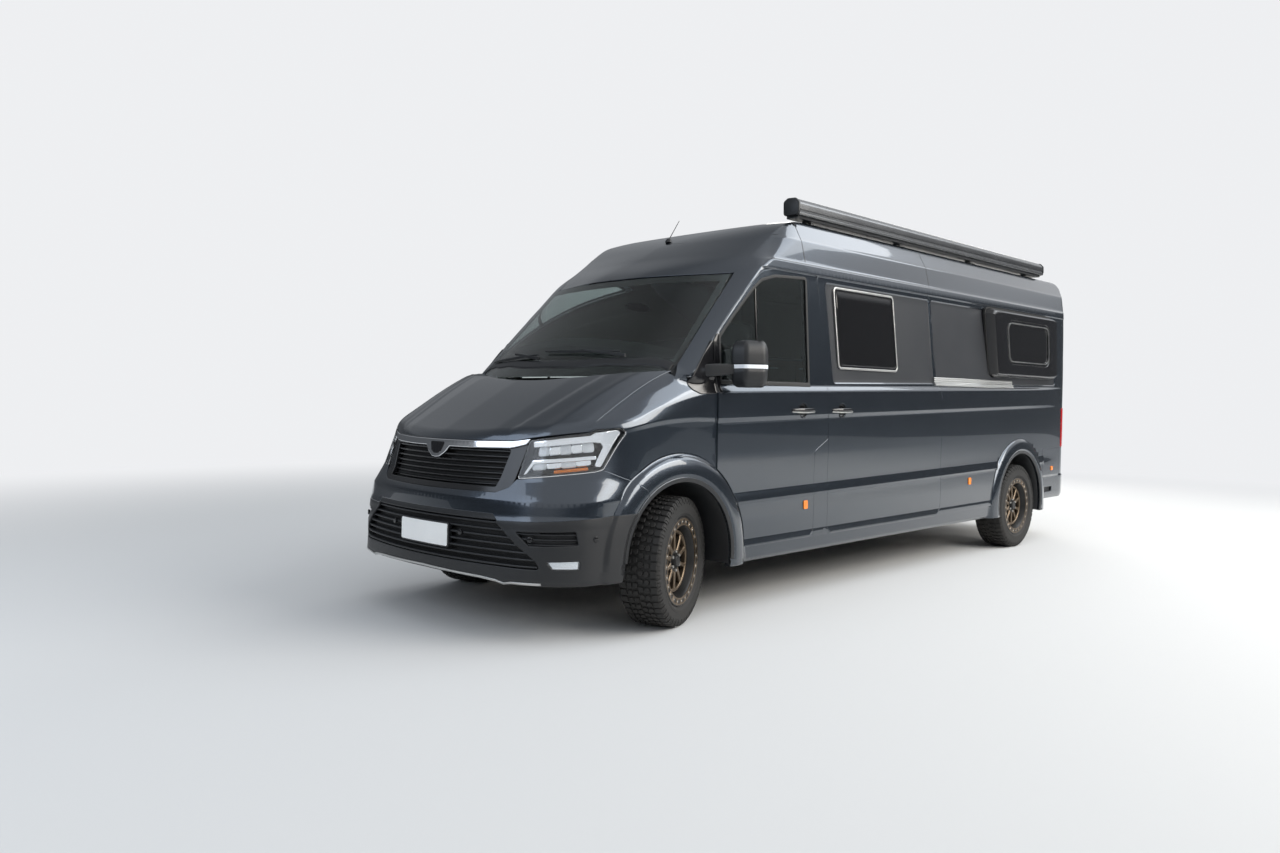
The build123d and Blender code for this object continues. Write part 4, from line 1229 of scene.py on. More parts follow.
# Sliding door and cab doors
cabHandleX, slidingHandleX = doors["handles"]
slidingLines = bandLines[:3] + bandLines[6:7] + rowLines(-640, 1070, 412, 2090)
slidingPanel = door("slidingDoor", slidingLine, sideWindowLine, slidingHandleX,
    sideGrid(-620, 1050, 404, 2091), slidingLines, bandZones[:1])
dress(slidingPanel, "sliding_door")
cabOutline = outsideCircle(cabDoorLine, frontArch["x"], frontArch["z"], 581)
leftCab = door("cabDoorLeft", cabOutline, cabWindowLine, cabHandleX, sideGrid(960, 2125, 404, 2091),
    pillarLines + rowLines(950, 2104, 412, 2090))
dressPair(leftCab, "cab_door_left", "cab_door_left")
leftPane = panel("cabGlassLeft", sideRays, bodySkin(6), grown(cabWindowLine, -1), (),
    sideGrid(1160, 2070, 1380, 2070), depth=4, roll=1.0, materials=[cabGlass])
dressPair(leftPane, "cab_glass_left", "cab_door_left")
print("stage: doors")

# Roof and windscreen
tailEnd = -3413.0
roofEdge = [(p[1], p[0]) for p in seam]
roofTail = []
for point in seamTail:
    v = point[0] if point[0] > -3180 else -3180 - 115 * math.atan2(-3180 - point[0], point[2] - 2400)
    if v > tailEnd + 20:
        roofTail.append((point[1], v))
halfRoof = roofEdge + roofTail + [(820, tailEnd)]
topY = np.linspace(-800, 800, 41)
topX = solve(*screenRays(topY, np.full(41, 2057.0)), bodyField, 0, 1200)[:, 0]
roofOutline = halfRoof + [(-y, v) for y, v in halfRoof[::-1]] + list(zip(topY, topX))
roofGrid = flatGrid(-800, 801, -3180, 900, 17, 90) + flatGrid(-800, 801, 900, 1930, 26, 24)
roofGrid += flatGrid(-800, 801, tailEnd, -3180, 30, 16)
roofPanel = panel("roofPanel", roofRays, bodyField, roofOutline, (), roofGrid, depth=30, edgeStep=18,
    low=-100.0, high=900.0, materials=[paint, lining])
dress(roofPanel, ["roof_rear", "roof", "roof_front"])


def screenField(x, y, z):
    return (x - glassX(y, z)) / math.hypot(1, body["glassRake"]) + 3.0


halfScreen = [(p[1] - 4, p[2]) for p in screenLine[1:]]
screenOutline = halfScreen + [(-y, z) for y, z in halfScreen[::-1]]
screenGrid = flatGrid(-900, 901, 1380, 2060, 34, 34)
screenPanel = panel("windscreen", screenRays, screenField, screenOutline, (), screenGrid, depth=6, roll=1.0,
    materials=[screenGlass])
dress(screenPanel, "windscreen")
print("stage: roof and windscreen")

# Rear doors
rearDoorLine = rounded(rect(5, 800, 612, 2336), [12, 60, 60, 12])
leftRear = panel("rearDoorLeft", tailRays, bodyField, rearDoorLine, (),
    flatGrid(10, 800, 615, 2336, 30, 30), depth=40, materials=[paint, lining])
dressPair(leftRear, "rear_door_left", "rear_door_left")

# Bonnet
shutY = 886


def walkU(x, y):
    # the side walk's own place of a point given in plan
    px, py = front["pivot"]
    if x <= px:
        return x
    return px + front["unit"] * math.atan2(x - px, y - py) if y > py else middleFront - y


def mirrored(points):
    return [(2 * middleFront - u, z) for u, z in points[::-1]]


def twinned(points):
    # a left half that ends at the middle, and its mirror image after it
    return points + mirrored(points)


def bonnetRear(y):
    x = np.full(np.shape(y), 2500.0)
    for _ in range(30):
        x = glassX(y, bonnetHeight(x, y)) + 20
    return x


ys = np.linspace(-shutY, shutY, 61)
rearV = bonnetRear(ys) - (noseX(ys) - 80)
frontLow = np.interp(np.abs(ys), [0, 560, 640, shutY], [1040, 1044, 1062, 1100])
frontV = []
turns = np.linspace(-60, 80 * 1.62, 90)
for y, lowest in zip(ys, frontLow):
    heights = onSkin(bonnetRays, bonnetField, np.full(90, y), turns, 0.0, 400.0)[0][:, 2]
    frontV.append(float(np.interp(-lowest, -heights, turns)))
bonnetOutline = list(zip(ys, rearV)) + list(zip(ys[::-1], frontV[::-1]))
bonnetGrid = flatGrid(-880, 881, -760, -20, 22, 40) + flatGrid(-880, 881, -20, 135, 22, 10)
creaseLines = []
for off in (-8, 12, 32, 60):
    line = [(float(creaseY(x)) + off, x - float(noseX(creaseY(x))) + 80) for x in np.linspace(2440, 3120, 24)]
    creaseLines += [(line, False), ([(-y, v) for y, v in line], False)]
bonnetPanel = panel("bonnetPanel", bonnetRays, bonnetField, bonnetOutline, (), bonnetGrid, creaseLines,
    depth=24, low=-60.0, high=400.0, materials=[paint, blackPlastic])
dress(bonnetPanel, "bonnet", "bonnet")

# Outlines on the front end, as (walk, height): the left half, the walk running on to the middle
nose = {
    "lamp": [(3540, 849), (3510, 1047), (3051, 1091), (3016, 1107), (2844, 1117), (2808, 1094), (2974, 903),
        (3030, 891)],
    "lampRadii": [14, 18, 40, 40, 16, 14, 30, 30],
    "wingSeam": [(2974, 899), (2783, 838), (2703, 788), (2674, 733)],
    "coverTop": [(3032, 886), (3542, 844), (3576, 803), (3652, 774), (middleFront, 770)],
    "coverLow": [(middleFront, 669), (3640, 669), (3601, 636), (3360, 644), (3140, 656), (2905, 668),
        (2745, 671)],
    "archFoot": [(2800, 590), (2838, 500), (2866, 400), (2888, 322)],
    "lowEdge": [(3100, 316), (3400, 318), (3520, 316), (3640, 326), (3900, 332), (middleFront, 334)],
    "mesh": [(3612, 642), (3600, 620), (3364, 450), (3330, 396)],
    "inlet": [(3499, 592), (3157, 600), (3141, 520), (3401, 514), (3452, 556)],
    "fog": [(3323, 446), (3130, 450), (3135, 397), (3279, 399)],
    "grille": [(3516, 1044), (3574, 806), (3654, 777)], "grilleHole": [(3634, 1000), (3668, 800)],
    "bar": [(3506, 1051), (3632, 1037), (3900, 1032), (middleFront, 1031)],
    "barLow": [(3530, 1030), (3640, 1009), (3900, 1003), (4070, 1003), (4106, 966), (4146, 943),
        (middleFront, 940)],
    "gap": 5,
}
gap = nose["gap"]
lampLine = rounded(nose["lamp"], nose["lampRadii"])
lampHole = anticlockwise(grown(anticlockwise(lampLine), gap))
frontLines = flareLines(frontArch, 4, 190)
for share in (1.1, 1.16, 1.22):
    radius = frontArch["radius"] + share * (frontArch["outer"] - frontArch["radius"])
    frontLines.append((circle(frontArch["x"], frontArch["z"], radius, 0, 128, 3), False))

# Wings: their lines follow the shoulder down to the lamp
shutLine = []
for x in np.linspace(2412, 2990, 30):
    y = shutY + 6.0
    shutLine.append((walkU(x, y), float(bonnetHeight(np.array([x]), np.array([y]))[0])))
lampTop = between(lampHole, (3050, 1097), (2970, 897))
wingOutline = [(2104, 1396), (float(screenLine[-1][0]) + 2, 1396)] + shutLine + lampTop + nose["wingSeam"][1:]
wingOutline += circle(frontArch["x"], frontArch["z"], frontArch["radius"], 52, 187)
wingOutline += circle(frontArch["x"], frontArch["z"], frontArch["outer"], 185, 124)[:-1] + [(2104, 862)]
wingLines, wingGrid = [], []
stationsX = np.arange(2100, 3080, 20)
for row, soft in ((2, 16), (3, 14), (4, 9), (5, 9), (6, 14), (7, 6), (8, 5)):
    for off in (-soft, -soft / 2, 0, soft / 2, soft):
        line = []
        for x in stationsX:
            y, z = frontSection(float(x))[row]
            line.append((walkU(x, float(y)), float(z) + off))
        if off in (-soft, 0, soft):
            wingLines.append((line, False))
        else:
            wingGrid += line
wingGrid += flatGrid(2110, 3100, 690, 1400, 30, 30)
leftWing = panel("wingLeft", sideRays, wingField, wingOutline, (), clearOfFlare(wingGrid, frontArch),
    frontLines + wingLines, depth=24, materials=[paint, blackPlastic])
dressPair(leftWing, "wing_left")
print("stage: bonnet and wings", len(leftWing.data.polygons))

# Painted bumper cover, one panel from wheel arch to wheel arch
walkSpan = 2 * middleFront
coverHalf = circle(frontArch["x"], frontArch["z"], frontArch["radius"], 41.5, 52)
coverHalf += [(u + gap, z - 1) for u, z in nose["wingSeam"][::-1][1:]] + nose["coverTop"]
coverOutline = twinned(coverHalf) + mirrored(nose["coverLow"]) + nose["coverLow"][1:]
coverGrid = [(u, z) for u in np.arange(2760, walkSpan - 2760, 34) for z in (640, 652, 662, 672, 690, 710,
    730, 738, 742, 746, 754, 775, 800, 830, 860, 885)]
lowLines = frontLines + [([(walkSpan - u, z) for u, z in line], False) for line, _ in frontLines]
coverLines = lowLines + [([(2990, level), (walkSpan - 2990, level)], False) for level in (738, 746)]
for arch in (frontArch, dict(frontArch, x=walkSpan - frontArch["x"])):
    coverGrid = clearOfFlare(coverGrid, arch, 30)
cover = panel("bumperCover", sideRays, wingField, coverOutline, (), coverGrid, coverLines, depth=24,
    materials=[paint, blackPlastic])
dress(cover, "bumper_cover")


def skinPiece(name, field, loop, depth, roll, material, holes=(), grid=(), rays=sideRays, **more):
    # a small piece of one material set on the skin, or behind it
    return panel(name, rays, field, loop, holes, list(grid), depth=depth, roll=roll, materials=[material],
        **more)


# Lower bumper in grained plastic, with its mesh, side inlets and fog lamps
lowOutline = [(u, z - gap) for u, z in nose["coverLow"]][:-1] + [(2748,
    664)] + nose["archFoot"] + nose["lowEdge"]
lowOutline = lowOutline + mirrored(lowOutline)[1:-1]
meshHole = rounded(twinned(nose["mesh"][::-1]), [20, 14, 8, 8, 8, 8, 14, 20])
inletHole, fogHole = rounded(nose["inlet"], 14), rounded(nose["fog"], [8, 16, 16, 8])
lowGrid = [(u, z) for u in np.arange(2780, walkSpan - 2780, 32) for z in (325, 332, 340, 352, 375, 400, 430,
    470, 510, 550, 590, 610, 630, 650)]
lowBumper = panel("bumperLower", sideRays, frontSkin(2), lowOutline,
    [meshHole, inletHole, mirrored(inletHole), fogHole, mirrored(fogHole)], lowGrid, lowLines, depth=34,
    roll=6, materials=[blackPlastic, blackPlastic])
backs = [skinPiece("bumperMeshBack", frontSkin(44), grown(meshHole, 26), 6, 3.5, rubberSeal, (),
    [q for q in lowGrid if q[1] > 380])]
for name, hole in (("inlet", inletHole), ("fog", fogHole)):
    for side, loop in (("Left", hole), ("Right", mirrored(hole))):
        backs.append(skinPiece(name + "Back" + side, frontSkin(32), grown(loop, 14), 4, 3.5, blackPlastic))
dress(lowBumper, "bumper_lower")
for piece in backs:
    dress(piece, None)
print("stage: bumper")


# Rows and rings of like pieces, by Geometry Nodes
def repeatTree(name, ring):
    tree = bpy.data.node_groups.new(name, "GeometryNodeTree")
    sockets = [("Piece", "NodeSocketObject"), ("Count", "NodeSocketInt"), ("Start", "NodeSocketVector"),
        ("Step", "NodeSocketVector"), ("Turn", "NodeSocketFloat"), ("Finish", "NodeSocketMaterial")]
    for label, kind in sockets:
        tree.interface.new_socket(name=label, in_out="INPUT", socket_type=kind)
    tree.interface.new_socket(name="Geometry", in_out="OUTPUT", socket_type="NodeSocketGeometry")
    start, end = tree.nodes.new("NodeGroupInput"), tree.nodes.new("NodeGroupOutput")
    link = tree.links.new
    info = tree.nodes.new("GeometryNodeObjectInfo")
    info.transform_space = "ORIGINAL"
    link(start.outputs["Piece"], info.inputs["Object"])
    line = tree.nodes.new("GeometryNodeMeshLine")
    line.mode = "OFFSET"
    link(start.outputs["Count"], line.inputs["Count"])
    link(start.outputs["Start"], line.inputs["Start Location"])
    link(start.outputs["Step"], line.inputs["Offset"])
    place = tree.nodes.new("GeometryNodeInstanceOnPoints")
    link(line.outputs[0], place.inputs["Points"])
    link(info.outputs["Geometry"], place.inputs["Instance"])
    if ring:
        index = tree.nodes.new("GeometryNodeInputIndex")
        angle = placed(tree, "ShaderNodeMath", [(0, index.outputs[0]), (1, start.outputs["Turn"])],
            operation="MULTIPLY")
        spin = tree.nodes.new("ShaderNodeCombineXYZ")
        link(angle.outputs[0], spin.inputs["Y"])
        link(spin.outputs[0], place.inputs["Rotation"])
    real = tree.nodes.new("GeometryNodeRealizeInstances")
    finishNode = tree.nodes.new("GeometryNodeSetMaterial")
    link(place.outputs[0], real.inputs[0])
    link(real.outputs[0], finishNode.inputs["Geometry"])
    link(start.outputs["Finish"], finishNode.inputs["Material"])
    link(finishNode.outputs[0], end.inputs[0])
    return tree


rowTree, ringTree = repeatTree("rowOfPieces", False), repeatTree("ringOfPieces", True)


def repeated(name, piece, count, material, step=(0, 0, 0), start=(0, 0, 0), ring=False):
    # a piece set out in a row, or turned in a ring about the Y axis, made one plain mesh
    holder = meshObject(name + "Holder", [], [], [])
    modifier = holder.modifiers.new("repeat", "NODES")
    modifier.node_group = ringTree if ring else rowTree
    values = {"Piece": piece, "Count": count, "Start": [c * mm for c in start],
        "Step": [c * mm for c in step], "Turn": 2 * math.pi / count if ring else 0.0, "Finish": material}
    for item in modifier.node_group.interface.items_tree:
        if item.in_out == "INPUT":
            modifier[item.identifier] = values[item.name]
    mesh = evaluatedMesh(holder)
    bpy.data.objects.remove(piece)
    return asObject(name, mesh)


def skinBar(name, walk0, walk1, z, height, depthIn, standOff, material):
    # one slat along the side walk, its front a little behind the skin
    walk = np.linspace(walk0, walk1, max(3, int(abs(walk1 - walk0) / 36)))
    skin, _, direction = onSkin(sideRays, frontSkin(standOff), walk, np.full(len(walk), z))
    sections = []
    for point, out in zip(skin, direction):
        section = []
        for inward, up in ((0, -height / 2 + 2), (-1.5, 0), (0, height / 2 - 2), (4, height / 2),
                (depthIn, height / 2), (depthIn, -height / 2), (4, -height / 2)):
            q = point - out * inward
            section.append((q[0], q[1], z + up))
        sections.append(section)
    return loft(name, sections, material, sharp=50)


# Grille: gloss frame, slats, bright bar with a blank shield
grille = {
    # slats: walk from and to, top, thickness, depth, place behind the skin, material, how many,
    # and the step from one to the next
    "grilleSlats": (3625, walkSpan - 3625, 985, 11, 26, 12, glossBlack, 7, (6.2, 0, -29)),
    "bumperSlats": (3345, walkSpan - 3345, 622, 12, 24, 12, blackPlastic, 7, (3.0, 0, -35)),
    "inletSlats": (3145, 3490, 577, 10, 18, 10, blackPlastic, 3, (0, 0, -26)),
    "shield": [(-66, 1020), (-46, 972), (-16, 957), (16, 957), (46, 972), (66, 1020)],
}
grilleHole = rounded(twinned(nose["grilleHole"]), [16, 12, 12, 16])
grilleFrame = panel("grilleFrame", sideRays, frontSkin(6), twinned(nose["grille"]), [grilleHole],
    flatGrid(3520, 4840, 780, 1044, 34, 24), depth=30, roll=5, materials=[glossBlack, blackPlastic])
grilleBack = skinPiece("grilleBack", frontSkin(48), grown(grilleHole, 20), 5, 3.5, rubberSeal, (),
    flatGrid(3560, 4800, 780, 1020, 60, 60))
slats = {}
for name in ("grilleSlats", "bumperSlats", "inletSlats"):
    *bar, material, count, step = grille[name]
    slats[name] = repeated(name, skinBar("slat", *bar, material), count, material, step)
dressPair(slats["inletSlats"], None)
top, low = nose["bar"], nose["barLow"]
brightBar = skinPiece("grilleBar", frontSkin(-7), top + mirrored(top)[1:] + mirrored(low)[::-1]
    + low[::-1][1:], 16, 5, chrome, (), [(u, z) for u in np.arange(3520, 4840, 30)
    for z in (950, 965, 985, 1005, 1015, 1025, 1035)])
shieldPanel = skinPiece("grilleShield", frontSkin(-9), rounded([(middleFront + a, z) for a,
    z in grille["shield"]], 6), 8, 2, glossBlack)
dress(grilleFrame, "grille")
for piece in (grilleBack, slats["grilleSlats"], brightBar, shieldPanel):
    dress(piece, None)
dress(slats["bumperSlats"], None)
print("stage: grille")

# Headlamps: a dark bowl, bright frames, rows of reflectors, a clear lens over them
lamp = {
    "upperFrame": [(3488, 1042), (3040, 1073), (2998, 1090), (2850, 1104), (2834, 1092), (2984, 916),
        (3018, 916),
        (3010, 936), (2950, 1018), (2968, 1040), (3030, 1043), (3474, 1010)],
    "lowerFrame": [(3524, 862), (3466, 940), (3010, 968), (3006, 954), (3456, 925), (3500, 872)],
    "upperRow": (3440, 3010, 5, (966, 1003), 0.07), "lowerRow": (3470, 3040, 4, (893, 924), 0.075),
    "strip": [(3300, 871), (3066, 889), (3070, 908), (3300, 890)],
}


def lampPiece(name, loop, by, depth, material, roll=3.0, holes=()):
    return skinPiece(name, frontSkin(by), loop, depth, roll, material, holes, edgeStep=12)


lampRing = lampPiece("lampRing", grown(lampLine, 1), 5, 66, blackPlastic, 2, [grown(lampLine, -7)])
lampGrid = flatGrid(2830, 3530, 860, 1110, 30, 24)
lampBowl = skinPiece("lampBowl", frontSkin(62), grown(lampLine, -2), 5, 3.5, glossBlack, (), lampGrid)
lampLens = skinPiece("lampLens", frontSkin(0), grown(lampLine, -1), 4, 2, clearLens, (), lampGrid)
lampParts = [lampRing, lampBowl, lampPiece("lampFrame", rounded(lamp["upperFrame"], 5), 14, 30, chrome, 4),
    lampPiece("lampFrameLow", rounded(lamp["lowerFrame"], 3), 20, 26, chrome, 3),
    lampPiece("lampStrip", lamp["strip"], 26, 16, amber, 2)]
for row, (start, end, count, (low, high), rise) in (("Upper", lamp["upperRow"]), ("Lower", lamp["lowerRow"])):
    width = (start - end) / count
    for k in range(count):
        u0, u1 = start - width * k - 7, start - width * (k + 1) + 7
        lift0, lift1 = (start - u0) * rise, (start - u1) * rise
        cell = rounded([(u0, low + lift0), (u1, low + lift1), (u1, high + lift1), (u0, high + lift0)], 7)
        lampParts.append(lampPiece(f"cell{row}{k}", cell, 30, 22, chrome if k % 2 else whiteLens, 8))
dressPair(joined("headlampInside", lampParts), "headlamps")
dressPair(lampLens, None)
fogParts = [lampPiece("fogBowl", grown(fogHole, -3), 24, 10, chrome, 4),
    lampPiece("fogLens", grown(fogHole, -4), 8, 5, clearLens, 3)]
dressPair(joined("fogLamp", fogParts), None)

# Number plate, blank, and the bumper's small fittings
plateLoop = rounded(rect(middleFront - 222, middleFront + 222, 468, 586), 8)
plateGrid = [(u, z) for u in np.arange(middleFront - 210, middleFront + 211, 30) for z in (490, 527, 564)]
plateBack = skinPiece("plateHolder", frontSkin(-3), grown(plateLoop, 7), 24, 3, blackPlastic, (), plateGrid)
plateFront = skinPiece("plateBlank", frontSkin(-6), plateLoop, 4, 1, plateFace, (), plateGrid)
sensors = [skinPiece("sensor", frontSkin(-2), circle(centre, 552, 13, 0, 360, 30), 14, 3, glossBlack,
    edgeStep=8) for u in (3395, 3050, 3860) for centre in (u, walkSpan - u)]
lipLine = [(3335, 323), (3500, 320), (3552, 309), (3600, 322), (3700, 330), (middleFront, 339)]
lipLoop = twinned([(u, z + 9) for u, z in lipLine]) + twinned(lipLine)[::-1]
lip = skinPiece("bumperLip", frontSkin(-3), lipLoop, 16, 2, satinMetal)
for piece in [plateBack, plateFront, joined("parkSensors", sensors), lip]:
    dress(piece, None)
print("stage: lamps")

# The camper's windows and the sleeping pods
windowLine = doors["sideWindow"][0]
glassLoop = rounded(grown(windowLine, -10), 20)
windowFrame = skinPiece("windowFrame", bodySkin(-14), rounded(grown(windowLine, 15), 34), 18, 3, satinMetal,
    [rounded(grown(windowLine, 7), 28)])
windowInner = skinPiece("windowInner", bodySkin(-12), rounded(grown(windowLine, 6), 27), 16, 3, glossBlack,
    [glassLoop])
windowPane = skinPiece("windowPane", bodySkin(-9), grown(glassLoop, 1), 6, 1, darkAcrylic, (),
    flatGrid(-2900, 960, 1420, 2060, 60, 60))


def radial(outline, centre, count=120):
    # the same outline as so many points, one on each ray from a centre
    p = np.array(outline, float) - centre
    q = np.roll(p, -1, 0)
    out = []
    for k in range(count):
        angle = 2 * math.pi * k / count
        d = np.array([math.cos(angle), math.sin(angle)])
        side0, side1 = (r[:, 0] * d[1] - r[:, 1] * d[0] for r in (p, q))
        hits = np.nonzero((side0 > 0) != (side1 > 0))[0]
        best = max(((p[i] + (q[i] - p[i]) * side0[i] / (side0[i] - side1[i])) @ d for i in hits))
        out.append(tuple(np.array(centre) + d * best))
    return out


pod = {
    # outlines in side view, with the radius of their corners
    "base": ([(-1500, 1486), (-1390, 2076), (-2790, 2076), (-2830, 1486)], 50),
    "window": ([(-1760, 1640), (-1700, 1955), (-2560, 1955), (-2590, 1640)], 60),
    "centre": (-2130.0, 1790.0),
    # rings: which outline, how far it is grown, and the distance from the middle of the van
    "shell": [("base", 4, 925), ("base", 4, 962), ("base", -3, 968), ("base", -10, 1000), ("base", -24, 1030),
        ("base", -30, 1040), ("base", -37, 1045), ("base", -46, 1046), ("window", 34, 1046), ("window", 30,
        1041),
        ("window", 2, 1041), ("window", 0, 1038), ("window", 0, 1024), ("base", -50, 1024), ("base", -16,
        925),
        ("base", 4, 925)],
    "pane": [("window", -1, 1029), ("window", -1, 1035)],
    "trim": [("window", 12, 1040), ("window", 12, 1048), ("window", 4, 1048), ("window", 4, 1040),
        ("window", 12, 1040)],
    "edge": [("base", 7, 960), ("base", 7, 975), ("base", -4, 975), ("base", -4, 960), ("base", 7, 960)],
}


def podPiece(name, rings, material, sharp=28, caps=False):
    sections = []
    for outline, by, y in pod[rings]:
        line, radius = pod[outline]
        loop = rounded(grown(line, by), max(radius + by, 8))
        sections.append([(x, y, z) for x, z in radial(loop, np.array(pod["centre"]))])
    return loft(name, sections, material, caps=caps, sharp=sharp)


podShell = podPiece("podShell", "shell", glossBlack)
podPane = podPiece("podPane", "pane", darkAcrylic, 35, True)
podTrim, podEdge = podPiece("podTrim", "trim", satinMetal), podPiece("podEdge", "edge", rubberSeal)
dressPair(podShell, "side_pods")
dressPair(joined("camperWindows", [windowPane, podPane]), "camper_windows")
dressPair(joined("windowFrames", [windowFrame, windowInner, podTrim, podEdge]), None)
print("stage: camper windows and pods")

# Aluminium rail under the pod, in four ribs
rail = {"from": -1926, "to": -512, "low": 1404, "high": 1468, "ribs": 4}
profile = []
for k in range(rail["ribs"] * 6 + 1):
    share = k / (rail["ribs"] * 6)
    profile.append((rail["low"] + share * (rail["high"] - rail["low"]),
        10 + 5 * abs(math.sin(math.pi * share * rail["ribs"]))))
railSections = []
for x in np.linspace(rail["from"], rail["to"], 24):
    skin, _ = onSide([x] * len(profile), [z for z, _ in profile])
    ribbed = [(x, s[1] + out, z) for s, (z, out) in zip(skin, profile)]
    railSections.append(ribbed + [(x, skin[-1][1] - 4, rail["high"]), (x, skin[0][1] - 4, rail["low"])])
sideRail = loft("sideRail", railSections, satinMetal, sharp=40)
dress(sideRail, None)

# Amber markers, door seals and window frames
markers = {"cab": (1215, 605, "cab_door_left"), "rear": (-1107, 636, "root")}
for name, (x, z, rides) in markers.items():
    marker = skinPiece(name + "Marker", bodySkin(-6), rounded(rect(x - 20, x + 20, z - 25, z + 25), 6), 8,
        3, amber)
    dressPair(marker, None, rides)
trimParts = [skinPiece("cabSeal", bodySkin(-1), grown(cabWindowLine, 9), 14, 2, rubberSeal,
    [grown(cabWindowLine, -7)]), skinPiece("cabWindowBar", bodySkin(3),
    [(1704, 1384), (1690, 1384), (1690, 1972), (1704, 1962)], 14, 2, glossBlack),
    skinPiece("beltSeal", bodySkin(-4), [(2058, 1366), (2058, 1384), (1160, 1384), (1160, 1366)], 14, 3,
    rubberSeal)]
dressPair(joined("cabDoorTrim", trimParts), None, "cab_door_left")

# Handles: a bar on two feet over a dark round cup
handle = {"half": 124, "height": 30, "thick": 15, "out": 31, "cup": 49}


def doorHandle(name, x):
    z0 = doors["handleZ"]
    skinY = float(onSide([x], [z0])[0][0][1])
    angles = [math.pi / 2 * k / 8 for k in range(9)]
    bowl = [((handle["cup"] + 2) * math.sin(angle), -34 * math.cos(angle) + 1) for angle in angles]
    back = [(r * 0.96, a - 3) for r, a in bowl[::-1]]
    cup = lathe("cup", [(0.01, bowl[0][1])] + bowl[1:] + back[:-1] + [(0.01, bowl[0][1] - 3)], glossBlack, 40)
    moved(cup, at(x, skinY - 1, z0))
    sections, silver = [], []
    for t in np.linspace(-1, 1, 25):
        along = x + t * handle["half"]
        y = skinY + handle["out"] * (1 - abs(t) ** 2.6) + 2
        rise = handle["height"] * (0.5 - 0.16 * abs(t) ** 3)
        y0 = y - handle["thick"]
        section = rounded([(y0, z0 - rise), (y, z0 - rise * 0.8), (y + 3, z0), (y, z0 + rise),
            (y0, z0 + rise)], 5, 3)
        sections.append([(along, a, b) for a, b in section])
        low = [(y0 + 2, z0 - rise - 3), (y + 2, z0 - rise - 2), (y + 2.5, z0 - rise * 0.62),
            (y0 + 2, z0 - rise * 0.6)]
        silver.append([(along, a, b) for a, b in low])
    count = min(len(q) for q in sections)
    sections = [[q[int(i * len(q) / count)] for i in range(count)] for q in sections]
    return joined(name, [cup, loft("grip", sections, glossBlack, sharp=40),
        loft("gripEdge", silver, satinMetal, sharp=40)])


dressPair(doorHandle("cabHandleLeft", cabHandleX), None, "cab_door_left")
dress(doorHandle("slidingHandle", slidingHandleX), None)
print("stage: side fittings")

# Mirrors: a tall head on an arm, from a black triangle at the door's front corner
mirror = {
    "plan": [(1895, 1050), (1884, 1203), (1935, 1212), (2048, 1160), (2060, 1062), (2032, 1042)],
    "radii": [14, 12, 34, 40, 26, 20], "centre": (1968, 1128),
    # height, and how far the outline draws in there
    "levels": [(1344, 46), (1347, 34), (1354, 22), (1368, 11), (1392, 5), (1430, 3), (1446, 3), (1449, 5),
        (1479, 5),
        (1482, 1), (1530, 1), (1566, 4), (1588, 11), (1602, 21), (1611, 33), (1615, 48)],
    "arm": [((2210, 944, 1436), 34, 27), ((2176, 978, 1438), 36, 27), ((2140, 1008, 1442), 36, 24), ((2084,
        1044, 1446), 33, 20),
        ((2020, 1080, 1450), 30, 20)],
    "door": [(2070, 1316), (2095, 1312), (2095, 1342), (2116, 1482), (2116, 1612), (2072, 1668)],
    "wing": [(2103, 1312), (2240, 1306), (2300, 1330), (2330, 1362), (2290, 1420), (2213, 1520), (2140, 1606),
        (2128, 1616), (2128, 1478), (2103, 1345)],
}
mirrorPlan = rounded(mirror["plan"], mirror["radii"], 4)
headSections = [[(x, y, z) for x, y in radial(grown(mirrorPlan, -draw), mirror["centre"], 96)] for z,
    draw in mirror["levels"]]
stripLine = between(grown(mirrorPlan, -2), (1888, 1206), (2056, 1084))
stripLine += between(grown(mirrorPlan, -12), (1898, 1196), (2046, 1084))[::-1]
armSections = [[(x + 0.5 * a, y + 0.86 * a, z + b) for a, b in rounded(rect(-out, out, -up, up), 12, 4)]
    for (x, y, z), up, out in mirror["arm"]]
mirrorParts = [loft("mirrorHead", headSections, blackPlastic, sharp=50),
    loft("mirrorStrip", [[(x, y, z) for x, y in stripLine] for z in (1453, 1475)], whiteLens, sharp=50),
    loft("mirrorArm", armSections, blackPlastic, sharp=50), skinPiece("mirrorFoot", bodySkin(-6),
    rounded(mirror["door"], 8), 16, 4, glossBlack)]
for low, high in ((1378, 1432), (1448, 1582)):
    mirrorParts.append(bevelBox("mirrorGlass", (1881, 1068, low), (1891, 1184, high), chrome))
dressPair(joined("mirrorLeft", mirrorParts), "mirror_left", "cab_door_left")
quarter = skinPiece("quarterPanel", frontSkin(-5), rounded(mirror["wing"],
    [10, 40, 30, 20, 30, 30, 20, 4, 20, 4]), 14, 4, glossBlack, (), flatGrid(2100, 2340, 1300, 1620, 24,
    24), lines=pillarLines)
dressPair(quarter, None)

# Awning case with its lead rail, end caps and brackets
awning = {
    "case": [(744, 2500), (850, 2500), (866, 2524), (864, 2572), (836, 2602), (776, 2606), (744, 2584)],
    "rail": [(842, 2492), (861, 2492), (866, 2497), (865, 2511), (852, 2511), (845, 2503)],
    "cap": [(742, 2491), (858, 2491), (868, 2520), (867, 2574), (838, 2605), (774, 2608), (741, 2586)],
    "front": 1140, "rear": -2870, "brackets": (900, -300, -1500, -2650),
}


def alongX(name, section, radius, xs, material, grow=(0, 0, 0, 0)):
    loop = rounded(section, radius, 3)
    sections = [[(x, y, z) for y, z in (grown(loop, by) if by else loop)] for x, by in zip(xs, grow)]
    return loft(name, sections, material, sharp=38)


